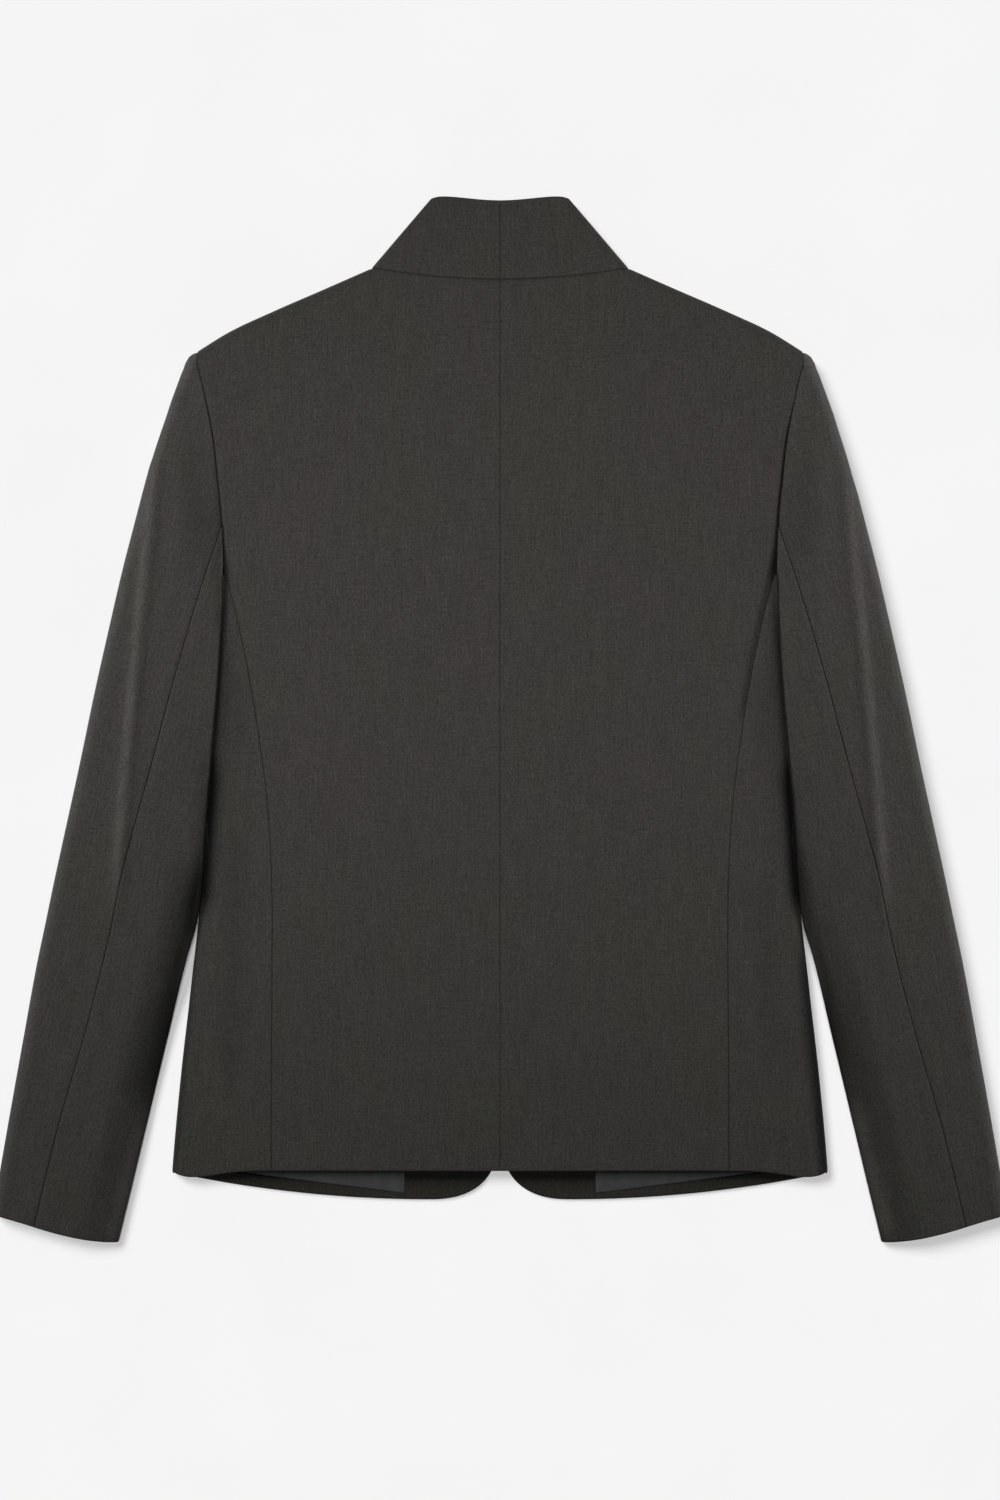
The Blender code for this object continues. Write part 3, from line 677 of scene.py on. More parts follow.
def hang(columns: list[Column], tops: Array, bottoms: Array, stations: Array, head: int,
         foot: int) -> tuple[Array, Array, Array]:
    """Plan points down columns that have their own ends and share the stations between.

    Args:
        columns: The columns, side by side.
        tops: Upper end of each column.
        bottoms: Lower end of each column.
        stations: Shared heights, from the top down.
        head: Number of rows above the stations.
        foot: Number of rows below the stations.

    Returns:
        The places across, the places along and the layers.
    """
    xs, ys = [], []
    close = EDGE_STEPS[-1]
    for column, top, bottom in zip(columns, tops, bottoms):
        above = between(top - close, stations[0], np.linspace(0.0, 1.0, head + 1))
        below = between(stations[-1], bottom + close, np.linspace(0.0, 1.0, foot + 1))
        y = np.concatenate([top - EDGE_STEPS[:-1], above, stations[1:-1], below, bottom + EDGE_STEPS[-2::-1]])
        xs.append(column.place(y))
        ys.append(y)
    layer = np.array([column.layer for column in columns])
    return np.stack(xs, axis=1), np.stack(ys, axis=1), layer[None, :]


def parted(columns: list[Column]) -> tuple[list[Column], list[Column]]:
    """Columns of the upper side and the fold, and those of the lower side."""
    upper = [column for column in columns if column.layer >= 0]
    return upper, columns[len(upper):]


def across_share(columns: list[Column], y: float) -> Array:
    """Fraction of the way across from the first column to the last, at one height."""
    places = np.array([float(column.place(np.array(y))) for column in columns])
    return (places - places[0]) / (places[-1] - places[0])


def add_object(name: str, data: bpy.types.ID) -> bpy.types.Object:
    """Add an object to the scene, at the origin."""
    made = bpy.data.objects.new(name, data)
    bpy.context.scene.collection.objects.link(made)
    return made


def shell(name: str, outer: Array, inner: Array, side: Side) -> bpy.types.Mesh:
    """Closed thin mesh between two faces of cloth.

    Args:
        name: Name of the mesh.
        outer: Grid of points on the outer face.
        inner: The same grid on the inner face.
        side: Half of the blazer that the mesh is for.

    Returns:
        The mesh, with the outer face's vertices first and its faces pointing outwards.
    """
    rows, columns = outer.shape[:2]
    count = rows * columns
    index = np.arange(count).reshape(rows, columns)
    corners = (index[:-1, :-1], index[:-1, 1:], index[1:, 1:], index[1:, :-1])
    cells = np.stack(corners, axis=-1).reshape(-1, 4)
    rim = np.concatenate([index[0], index[1:, -1], index[-1, -2::-1], index[-2:0:-1, 0]])
    ahead = np.roll(rim, -1)
    walls = np.stack([ahead, rim, rim + count, ahead + count], axis=-1)
    faces = np.concatenate([cells, cells[:, ::-1] + count, walls])
    row, column = rows // 2, columns // 2
    one = outer[row + 1, column + 1] - outer[row, column]
    other = outer[row + 1, column] - outer[row, column + 1]
    out = outer[row, column] - inner[row, column]
    if np.dot(np.cross(one, other), out) * side.value < 0:
        faces = faces[:, ::-1]
    mirror = np.array((side.value, 1.0, 1.0)) * MILLIMETRE
    vertices = np.concatenate([outer.reshape(-1, 3), inner.reshape(-1, 3)]) * mirror
    mesh = bpy.data.meshes.new(name)
    mesh.from_pydata(vertices.tolist(), [], faces.tolist())
    mesh.validate()
    mesh.shade_smooth()
    mesh.set_sharp_from_angle(angle=np.radians(SHARP_ANGLE))
    return mesh


@dataclass(frozen=True)
class Cut:
    """One cut piece of cloth.

    Attributes:
        name: Name of the piece, without its side.
        wall: Thickness of its cloth.
        edges: Finish of its four edges.
        slot: The record's material slot.
        lies_on: Pieces that it lies on, without their side. Not used.
        turn_up: Further thickness where its hem is turned up.
        turned_layer: Lowest layer that is turned up.
        grain: Lean of its warp from the centre back, in degrees.
        bolt: Place on the bolt of cloth, in metres.
    """

    name: str
    wall: float
    edges: Edges
    slot: str
    lies_on: tuple[str, ...] = ()
    turn_up: float = 0.0
    turned_layer: int = -1
    grain: float = 0.0
    bolt: float = 0.0


Panel = tuple[Cut, Cloth]


class Relief(NamedTuple):
    """Small forms of a piece: offsets of its faces, and distances from its seams."""

    outer: Array
    inner: Array
    seam: Array


@dataclass(frozen=True)
class Tailor:
    """Presses, creases and thickens laid cloth into pieces of the blazer.

    Attributes:
        finishes: Materials of the cloths, by the record's slots.
        seam_roll: Radius to which the cloth rolls into a seam.
        press_rise: Rise of the cloth over a pressed seam allowance.
        press_width: Width of the allowance.
        press_fade: Width over which that rise comes and goes.
        turn_up_width: Depth of a turned up hem.
        turn_up_step: Width of the step at its upper edge.
        rim_share: Share of a folded rim that is round.
        crease_fade: Share of a crease's length over which it starts and ends.
        fold_fade: Width over which a crease ends past a folded edge.
        shade_fade: Lean of the cloth, past upright, over which a crease's painted shade and highlight on the
            face end.
        square_width: Width along a seam where the wall stands upright.
    """

    finishes: dict[str, bpy.types.Material]
    seam_roll: float = 0.55
    press_rise: float = 0.10
    press_width: float = 8.0
    press_fade: float = 2.4
    turn_up_width: float = 30.0
    turn_up_step: float = 0.8
    rim_share: float = 0.9
    crease_fade: float = 0.22
    fold_fade: float = 6.0
    shade_fade: float = 0.6
    square_width: float = 3.0

    def _roll(self, distance: Array, radius: float) -> Array:
        """Drop of a rounded edge at distances from it."""
        inside = np.clip(radius - distance, 0.0, radius)
        return radius - np.sqrt(radius ** 2 - inside ** 2)

    def _edge_relief(self, cloth: Cloth, cut: Cut) -> Relief:
        """Rolled seams, pressed allowances and turned up hems.

        Args:
            cloth: The laid cloth.
            cut: The piece that it is cut for.

        Returns:
            The offsets of both faces, and the distances from seams.
        """
        sunk, raised, turned, rounded = (np.zeros(cloth.layer.shape) for _ in range(4))
        seam = np.full(cloth.layer.shape, FAR)
        for edge, distance in zip(cut.edges, cloth.edge_distances()):
            if edge is Edge.SEAM:
                seam = np.minimum(seam, distance)
                sunk = np.maximum(sunk, self._roll(distance, self.seam_roll))
                rise = ease(distance / self.press_fade)
                fall = ease((distance - self.press_width) / self.press_fade)
                raised = np.maximum(raised, self.press_rise * rise * (1 - fall))
            elif edge is Edge.FOLDED:
                hem = 1 - ease((distance - self.turn_up_width) / self.turn_up_step)
                turned = np.maximum(turned, cut.turn_up * hem * (cloth.layer >= cut.turned_layer))
                rim = self.rim_share * self._roll(distance, (cut.wall + cut.turn_up) / 2)
                rounded = np.maximum(rounded, rim)
        outer = raised - np.maximum(sunk, rounded)
        return Relief(outer, rounded - cut.wall - turned, seam)

    def _crease_relief(self, cloth: Cloth, creases: Sequence[Crease]) -> tuple[Array, Array]:
        """Heights of the creases over the cloth.

        Args:
            cloth: The laid cloth.
            creases: The piece's creases.

        Returns:
            The offset out of the cloth at each point, and the height that sets its painted shade and
            highlight.
        """
        plan = cloth.points[..., :2]
        near_fold = 1 - ease(cloth.gap / self.fold_fade)
        weights = {
            Reach.FACE: np.where(cloth.layer >= 0, np.clip(cloth.normals[..., 2], 0.0, 1.0), 0.0),
            Reach.OVER: np.where(cloth.layer >= 0, 1.0, near_fold),
            Reach.UNDER: np.where(cloth.layer < 0, 1 - near_fold, 0.0),
        }
        shades = weights | {Reach.FACE: ease(1 + cloth.normals[..., 2] / self.shade_fade)}
        total, shaded = np.zeros(cloth.layer.shape), np.zeros(cloth.layer.shape)
        for crease in creases:
            start = np.array(crease.start)
            run = np.array(crease.end) - start
            length = np.hypot(*run)
            ahead = run / length
            offset = plan - start
            t = offset @ ahead / length
            aside = offset @ np.array((-ahead[1], ahead[0])) - 4 * crease.bow * t * (1 - t)
            fade = ease(t / self.crease_fade) * ease((1 - t) / self.crease_fade)
            shape = crease.height * np.exp(-(aside / crease.width) ** 2) * fade
            total += shape * weights[crease.reach]
            # Height that sets painted shade in a trough and a painted highlight on a ridge
            shaded += shape * crease.shade * shades[crease.reach]
        return total, shaded

    def _squared(self, cloth: Cloth) -> Array:
        """Directions out of the cloth, turned into the seams' upright planes beside them."""
        normals = cloth.normals.copy()
        _, _, from_first, from_last = cloth.edge_distances()
        for column, distance in ((0, from_first), (-1, from_last)):
            across = leftwards(cloth.points[:, column, :2])[:, None]
            lean = (normals[..., :2] * across).sum(-1) * (1 - ease(distance / self.square_width))
            normals[..., :2] -= lean[..., None] * across
        return normals

    def sew(self, cut: Cut, cloth: Cloth, side: Side) -> bpy.types.Object:
        """Args:
            cut: The piece.
            cloth: Its laid cloth.
            side: Half of the blazer.

        Returns:
            The finished piece.
        """
        hand = side.name.lower()
        node = f"{cut.name}_{hand}"
        relief = self._edge_relief(cloth, cut)
        crease, crest = self._crease_relief(cloth, CREASES.get(node, ()))
        normals = self._squared(cloth)
        outer = cloth.points + normals * (relief.outer + crease)[..., None]
        inner = cloth.points + normals * (relief.inner + crease)[..., None]
        outer[..., 2] = np.maximum(outer[..., 2], 0.0)
        mesh = shell(f"{node}_cloth", outer, inner, side)
        lean = np.radians(cut.grain)
        turn = np.array(((np.cos(lean), -np.sin(lean)), (np.sin(lean), np.cos(lean))))
        grain = cloth.flat @ turn * np.array((side.value, 1.0)) * MILLIMETRE
        # Seam distances and crease heights go to the material, which paints shade and highlight from them
        self._mark(mesh, grain + np.array((cut.bolt, 0.0)), {"seam": relief.seam, "crest": crest})
        mesh.materials.append(self.finishes[cut.slot])
        piece = add_object(mesh.name, mesh)
        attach(piece, "root")
        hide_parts(node)
        return piece

    def sew_all(self, panels: Sequence[Panel], side: Side) -> list[bpy.types.Object]:
        """Make pieces of one half of the blazer, in order."""
        return [self.sew(cut, cloth, side) for cut, cloth in panels]

    def _mark(self, mesh: bpy.types.Mesh, grain: Array, marks: dict[str, Array]) -> None:
        """Write the cloth's grain as a UV map, and further marks as attributes.

        Args:
            mesh: The piece's mesh.
            grain: Places on the flat cloth, in metres.
            marks: Distances from seams, and crease heights for painted shade and highlight, in millimetres,
                by name.
        """
        corner = np.zeros(len(mesh.loops), dtype=np.int32)
        mesh.loops.foreach_get("vertex_index", corner)
        places = np.tile(grain.reshape(-1, 2), (2, 1))[corner]
        mesh.uv_layers.new(name="grain").data.foreach_set("uv", places.astype(np.float32).ravel())
        for name, mark in marks.items():
            values = np.tile(mark.ravel(), 2).astype(np.float32)
            mesh.attributes.new(name, "FLOAT", "POINT").data.foreach_set("value", values)


def floor(x: Array, y: Array) -> Array:
    """Height of the surface that the blazer lies on."""
    return np.zeros_like(x)


@dataclass(frozen=True)
class Body:
    """Back, side panels and fronts, laid flat with the fronts underneath."""

    wall: float = 1.4
    turn_up: float = 1.0
    back_hem: float = -305.8
    back_neck: float = 298.2
    neck_point: PlanPoint = SHOULDER_POINTS[0]
    shoulder_tip: PlanPoint = SHOULDER_POINTS[-1]
    underarm: float = 98.0
    scye_bottom: float = 60.0
    front_scye: float = 100.0
    front_edge: float = 1.5
    corner_top: float = -286.0
    corner_end: float = 48.0
    corner_power: float = 2.4
    front_hem: float = -326.1
    front_hem_rise: float = 15.0
    front_hem_run: float = 158.0
    side_hem_dip: float = 4.4
    side_hem_power: float = 2.65
    front_neck: float = 245.0
    neck_turns: tuple[float, ...] = (0.0, 22.5, 45.0, 67.5, 82.0, 90.0)
    shoulder_columns: int = 4
    shoulder_round: float = 7.0
    side_round: float = 4.4
    half_width: float = 190.0
    length: float = 590.0
    side_upper_width: float = 96.0
    side_lower_width: float = 34.0
    station_top: float = 36.0
    station_end: float = -290.0
    stations: int = 97
    scye_rows: int = 16
    hem_rows: int = 5

    def top(self, x: Array, y: Array) -> Array:
        """Height of the back's upper face."""
        centre = through(y, HEIGHT_ROWS, "centre")
        side = through(y, HEIGHT_ROWS, "side")
        share = np.minimum(np.abs(x) / through(y, HEIGHT_ROWS, "reach"), 1.0)
        return between(centre, side, share * share)

    def side_edge(self, y: Array) -> Array:
        """Side fold of the body."""
        return through(y, BODY_ROWS, "side_edge")

    def back_armhole(self, y: Array) -> Array:
        """Armhole seam of the back."""
        return through(y, ARMHOLE_ROWS, "back")

    def back_side_seam(self, y: Array) -> Array:
        """Outer seam of the back: the side-back seam, then the armhole."""
        return np.where(y > self.front_scye, self.back_armhole(y), through(y, BODY_ROWS, "side_back_seam"))

    def front_side_seam(self, y: Array) -> Array:
        """Outer seam of the front: the side-front seam, then the front armhole."""
        armhole = through(y, ARMHOLE_ROWS, "front")
        return np.where(y > self.front_scye, armhole, through(y, BODY_ROWS, "side_front_seam"))

    def neck_seam(self, x: Array) -> Array:
        """Neck seam of the back."""
        return between(self.back_neck, self.neck_point.y, (x / self.neck_point.x) ** 2)

    def shoulder_line(self, x: Array) -> Array:
        """Shoulder line, from the neck point to the shoulder tip."""
        return through(x, SHOULDER_POINTS, "y", "x")

    def front_outline(self, x: Array) -> Array:
        """Lower edge of the front: the rounded corner, then the hem."""
        share = np.clip((self.corner_end - x) / (self.corner_end - self.front_edge), 0.0, 1.0)
        bend = (1 - share ** self.corner_power) ** (1 / self.corner_power)
        corner = between(self.corner_top, self.front_hem, bend)
        hem = self.front_hem + self.front_hem_rise * ((x - self.corner_end) / self.front_hem_run) ** 2
        return np.where(x < self.corner_end, corner, hem)

    def side_hem(self, x: Array) -> Array:
        """Hem of the side panel's upper layer."""
        start = BODY_ROWS[0].side_back_seam
        share = (x - start) / (BODY_ROWS[0].side_edge - start)
        bend = np.clip(share, 0.0, 1.0) ** self.side_hem_power
        return self.back_hem - self.side_hem_dip * np.sin(np.pi * bend)

    def front_neck_seam(self, place: Array) -> Array:
        """Neck seam of the front, seen from above.

        Args:
            place: Place along the seam, counted in the listed turns from the front edge.

        Returns:
            Plan points of the seam.
        """
        turn = np.radians(np.interp(place, np.arange(len(self.neck_turns)), self.neck_turns))
        x = between(self.front_edge, self.neck_point.x, np.sin(turn))
        y = between(self.neck_point.y, self.front_neck, np.cos(turn))
        return in_plan(x, y)

    def shoulder_fold(self) -> Outline:
        """Folded edge along the shoulder."""
        x = np.linspace(self.neck_point.x, self.shoulder_tip.x, OUTLINE_POINTS)
        return Outline(in_plan(x, self.shoulder_line(x)), steady(self.shoulder_round))

    def _half(self, low: Array, high: Array, inner_x: float, seam: Line, layer: int) -> Cloth:
        """Half of the back or the front, from the centre to its outer seam.

        Args:
            low: Points of the hem.
            high: Points of the neck and the shoulder.
            inner_x: Place of the inner edge.
            seam: Place of the outer seam.
            layer: 1 for the back and -1 for the front.

        Returns:
            The laid half.
        """
        up = shares(self.length)
        right_y = between(low[-1, 1], self.shoulder_tip.y, up)
        right = in_plan(seam(right_y) - HALF_GAP, right_y)
        left_y = between(low[0, 1], high[0, 1], up)
        left = in_plan(inner_x, left_y)
        plan = coons(low, high, left, right, shares(self.half_width), up)
        plan[-1] = high
        x, y = plan[..., 0], plan[..., 1]
        return lay(x, y, np.array(layer), self.top, floor, self.shoulder_fold(), unfolded=False)

    def back(self) -> Cloth:
        """Half back, from the centre-back seam to the side-back seam and armhole."""
        across = shares(self.half_width)
        hem_x = between(CENTRE_GAP, self.back_side_seam(np.array(self.back_hem)) - HALF_GAP, across)
        low = in_plan(hem_x, self.back_hem)
        neck_x = between(CENTRE_GAP, self.neck_point.x, np.minimum(2 * across, 1.0))
        tip_x = self.back_armhole(np.array(self.shoulder_tip.y)) - HALF_GAP
        shoulder_x = between(self.neck_point.x, tip_x, np.maximum(2 * across - 1, 0.0))
        neck = in_plan(neck_x, self.neck_seam(neck_x) - HALF_GAP)
        shoulder = in_plan(shoulder_x, self.shoulder_line(shoulder_x))
        high = np.where(across[:, None] <= 0.5, neck, shoulder)
        return self._half(low, high, CENTRE_GAP, self.back_side_seam, 1)

    def front(self) -> Cloth:
        """Half front, from the front edge to the side-front seam and armhole."""
        turns = len(self.neck_turns) - 1
        place = shares(self.half_width) * (turns + self.shoulder_columns)
        rest = np.maximum(place - turns, 0.0) / self.shoulder_columns
        turn = np.minimum(place / turns, 1.0) * np.pi / 2
        corner_x = between(self.corner_end, self.front_edge, np.cos(turn) ** (2 / self.corner_power))
        corner_y = between(self.corner_top, self.front_hem, np.sin(turn) ** (2 / self.corner_power))
        hem_x = between(self.corner_end, BODY_ROWS[0].side_front_seam - HALF_GAP, rest)
        corner = in_plan(corner_x, corner_y)
        hem = in_plan(hem_x, self.front_outline(hem_x))
        tip_x = through(np.array(self.shoulder_tip.y), ARMHOLE_ROWS, "front") - HALF_GAP
        shoulder_x = between(self.neck_point.x, tip_x, rest)
        shoulder = in_plan(shoulder_x, self.shoulder_line(shoulder_x))
        neck = self.front_neck_seam(place) - np.array((0.0, HALF_GAP))
        low = np.where(place[:, None] <= turns, corner, hem)
        high = np.where(place[:, None] <= turns, neck, shoulder)
        return self._half(low, high, self.front_edge, self.front_side_seam, -1)

    def side_panel(self) -> Cloth:
        """Side panel, from the side-back seam round the side fold to the side-front seam."""
        fold = Fold(
            lambda y: through(y, BODY_ROWS, "side_back_seam") + HALF_GAP,
            lambda y: through(y, BODY_ROWS, "side_front_seam") + HALF_GAP,
            self.side_edge, steady(self.side_round), 1,
            self.side_upper_width, self.side_lower_width,
        )
        columns = fold.columns()
        upper, lower = parted(columns)
        upper_tops = between(self.underarm, self.scye_bottom, ease(across_share(upper, self.scye_bottom)))
        share = ease(across_share(lower, self.scye_bottom))
        lower_tops = between(self.scye_bottom, self.front_scye - SEAM_GAP, share)
        lines = [self.front_outline if column.layer < 0 else self.side_hem for column in columns]
        bottoms = [crossing(column, line, self.back_hem) for column, line in zip(columns, lines)]
        stations = np.linspace(self.station_top, self.station_end, self.stations)
        tops = np.concatenate([upper_tops, lower_tops])
        x, y, layer = hang(columns, tops, bottoms, stations, self.scye_rows, self.hem_rows)
        outline = Outline.along(self.shoulder_tip.y, BODY_ROWS[0].y, self.side_edge, fold.radius)
        return lay(x, y, layer, self.top, floor, outline)

    def panels(self) -> list[Panel]:
        """Half back, side panel and half front."""
        seam, folded = Edge.SEAM, Edge.FOLDED
        back = Cut("back", self.wall, Edges(folded, seam, seam, seam), "wool", ("front", "side"),
                   turn_up=self.turn_up, bolt=0.0)
        panel = Cut("side", self.wall, Edges(seam, folded, seam, seam), "wool", ("front",),
                    turn_up=self.turn_up, turned_layer=0, bolt=1.0)
        front = Cut("front", self.wall, Edges(folded, seam, folded, seam), "wool", bolt=2.0)
        return [(back, self.back()), (panel, self.side_panel()), (front, self.front())]


@dataclass(frozen=True)
class Sleeve:
    """Two-piece set-in sleeve, lying on the body's side and stepping down to the floor."""

    body: Body
    wall: float = 1.4
    turn_up: float = 1.0
    grain: float = 12.0
    cap_top: float = 248.2
    cap_station: float = 241.0
    elbow_top: float = 131.0
    elbow_ease: float = 7.0
    lift: float = 0.5
    step_start: float = 3.0
    step_run: float = 9.0
    swell: float = 30.0
    outer_round: float = 7.5
    scye_slack: float = 1.5
    slack_end: float = 36.0
    station_end: float = -320.0
    top_stations: int = 166
    under_stations: int = 106
    scye_rows: int = 20
    cuff_rows: int = 8
    top_width: float = 60.0
    under_width: float = 50.0
    under_lower_width: float = 36.0

    def outer_edge(self, y: Array) -> Array:
        """Outer fold, from the shoulder tip to the cuff."""
        cap = through(y, CAP_ROWS, "outer_edge")
        return np.where(y > self.elbow_top, cap, through(y, SLEEVE_ROWS, "outer_edge"))

    def inner_edge(self, y: Array) -> Array:
        """Inner fold."""
        return through(y, SLEEVE_ROWS, "inner_edge")

    def inner_round(self, y: Array) -> Array:
        """Radius of the inner fold."""
        return through(y, SLEEVE_ROWS, "inner_round")

    def elbow_seam(self, y: Array) -> Array:
        """Elbow seam, between the two pieces on the upper side."""
        return through(y, SLEEVE_ROWS, "elbow_seam")

    def back_seam(self, y: Array) -> Array:
        """Upper seam of the top sleeve: the armhole, then the elbow seam."""
        share = ease((y - self.elbow_top) / self.elbow_ease)
        return between(self.elbow_seam(y), self.body.back_armhole(y), share)

    def front_seam(self, y: Array) -> Array:
        """Lower seam of the top sleeve: the front armhole, then the inseam."""
        armhole = through(y, ARMHOLE_ROWS, "front")
        return np.where(y > self.elbow_top, armhole, through(y, SLEEVE_ROWS, "inseam"))

    def inseam(self, y: Array) -> Array:
        """Lower seam of the under sleeve."""
        slack = np.clip((y - self.slack_end) / (self.body.scye_bottom - self.slack_end), 0.0, 1.0)
        return through(y, SLEEVE_ROWS, "inseam") - HALF_GAP - self.scye_slack * slack

    def top(self, x: Array, y: Array) -> Array:
        """Height of the upper face, swelling away from the body."""
        start = np.where(y > self.body.underarm, self.body.back_armhole(y), self.inner_edge(y))
        edge = through(y, SLEEVE_HEIGHT_ROWS, "edge")
        crown = through(y, SLEEVE_HEIGHT_ROWS, "crown")
        return between(edge, crown, ease((x - start) / self.swell))

    def bottom(self, x: Array, y: Array) -> Array:
        """Height of the under sleeve's lower face, which steps down off the body's side fold."""
        on_body = self.body.top(x, y) + self.lift
        return on_body * (1 - ease((x - self.body.side_edge(y) - self.step_start) / self.step_run))

    def cuff(self, x: Array) -> Array:
        """Edge of the sleeve at the wrist."""
        return through(x, CUFF_POINTS, "y", "x")

    def cuff_ends(self, columns: Sequence[Column]) -> list[float]:
        """Places along columns where the cuff ends them."""
        return [crossing(column, self.cuff, CUFF_POINTS[0].y) for column in columns]

    def top_sleeve(self) -> Cloth:
        """Top sleeve, from the back armhole and elbow seam over the outer fold to the inseam."""
        radius = steady(self.outer_round)
        fold = Fold(
            lambda y: self.back_seam(y) + HALF_GAP, lambda y: self.front_seam(y) + HALF_GAP,
            self.outer_edge, radius, 1, self.top_width, self.top_width,
        )
        columns = fold.columns()
        tops = [self.cap_top] * len(columns)
        bottoms = self.cuff_ends(columns)
        stations = np.linspace(self.cap_station, self.station_end, self.top_stations)
        x, y, layer = hang(columns, tops, bottoms, stations, 1, self.cuff_rows)
        outline = Outline.along(self.body.shoulder_tip.y, SLEEVE_ROWS[-1].y, self.outer_edge, radius)
        return lay(x, y, layer, self.top, floor, outline)

    def _armhole_end(self, column: Column) -> float:
        """Place along an under sleeve's column where the armhole cuts it off."""
        low, high = self.body.scye_bottom, self.elbow_top
        for _ in range(HALVINGS):
            middle = np.array((low + high) / 2)
            if column.place(middle) > self.body.back_armhole(middle) + HALF_GAP:
                low = float(middle)
            else:
                high = float(middle)
        return low

    def under_sleeve(self) -> Cloth:
        """Under sleeve, from the elbow seam round the inner fold to the inseam."""
        fold = Fold(
            lambda y: self.elbow_seam(y) - HALF_GAP, self.inseam, self.inner_edge, self.inner_round, -1,
            self.under_width, self.under_lower_width,
        )
        columns = fold.columns()
        upper, lower = parted(columns)
        tops = [self._armhole_end(column) for column in upper]
        share = ease(across_share(lower, self.body.scye_bottom))
        tops += list(between(tops[-1], self.body.scye_bottom, share))
        bottoms = self.cuff_ends(columns)
        stations = np.linspace(self.slack_end, self.station_end, self.under_stations)
        x, y, layer = hang(columns, tops, bottoms, stations, self.scye_rows, self.cuff_rows)
        outline = Outline.along(SLEEVE_ROWS[-1].y, self.elbow_top, self.inner_edge, self.inner_round)
        return lay(x, y, layer, self.top, self.bottom, outline)

    def panels(self) -> list[Panel]:
        """Top sleeve and under sleeve."""
        edges = Edges(Edge.SEAM, Edge.FOLDED, Edge.SEAM, Edge.SEAM)
        top = Cut("top_sleeve", self.wall, edges, "wool", ("under_sleeve",), turn_up=self.turn_up,
                  grain=self.grain, bolt=3.0)
        under = Cut("under_sleeve", self.wall, edges, "wool", ("side",), turn_up=self.turn_up,
                    grain=self.grain, bolt=4.0)
        return [(top, self.top_sleeve()), (under, self.under_sleeve())]


@dataclass(frozen=True)
class StandCollar:
    """Tall stand collar in two halves, from the centre back round to the front edge."""

    body: Body
    wall: float = 2.2
    corner: PlanPoint = PlanPoint(46.5, 354.6)
    back_top: float = 351.4
    top_lift: float = 3.2
    corner_drop: float = 1.6
    corner_power: float = 9.0
    front_top: float = 300.0
    front_power: float = 1.3
    fold_round: float = 5.5
    height: float = 52.0
    back_columns: int = 24
    front_columns: int = 30

    def _back_run(self, edge_x: float) -> Array:
        """Places across the upper side, from the centre back to the folded edge."""
        start = edge_x - self.fold_round
        even = np.linspace(EDGE_STEPS[-1], start, self.back_columns + 1)[1:]
        angles = np.linspace(np.pi / 2, 0.0, BEND_STEPS + 1)[1:]
        bend = edge_x - self.fold_round * (1 - np.cos(angles))
        return np.concatenate([CENTRE_GAP + EDGE_STEPS, even, bend])

    def half(self) -> Cloth:
        """Half collar, from the centre-back seam round the side fold to the front edge."""
        neck_x = self._back_run(self.body.neck_point.x)
        top_x = self._back_run(self.corner.x)
        top_y = self.back_top + self.top_lift * ease(top_x / self.corner.x)
        turns = len(self.body.neck_turns) - 1
        turned = 1 - np.linspace(0.0, 1.0, BEND_STEPS + 1)[1:-1] ** 2
        place = np.concatenate([turns - 1 + turned, np.linspace(turns - 1, 0.0, self.front_columns)])
        corners = (self.body.front_edge, self.corner.x - self.fold_round, self.corner.x)
        front_x = np.interp(place, (0.0, turns - 1, turns), corners)
        slope = (front_x / self.corner.x) ** self.front_power
        front_y = between(self.front_top, self.corner.y, slope)
        low_back = in_plan(neck_x, self.body.neck_seam(neck_x))
        low = np.concatenate([low_back, self.body.front_neck_seam(place)]) + np.array((0.0, HALF_GAP))
        high = np.concatenate([in_plan(top_x, top_y), in_plan(front_x, front_y)])
        high[:, 1] -= self.corner_drop * (high[:, 0] / self.corner.x) ** self.corner_power
        plan = between(low[None], high[None], shares(self.height)[:, None, None])
        layer = np.sign(len(neck_x) - 1 - np.arange(len(low)))
        edge = np.linspace(self.corner, self.body.neck_point, OUTLINE_POINTS)
        outline = Outline(edge, steady(self.fold_round))
        cloth = lay(plan[..., 0], plan[..., 1], layer[None, :], self.body.top, floor, outline)
        cloth.normals = unit(cloth.normals * np.array((1.0, 0.0, 1.0)))
        return cloth

    def panels(self) -> list[Panel]:
        """Half collar, as the one panel."""
        edges = Edges(Edge.SEAM, Edge.FOLDED, Edge.SEAM, Edge.FOLDED)
        cut = Cut("collar", self.wall, edges, "wool", ("back", "front"), bolt=5.0)
        return [(cut, self.half())]


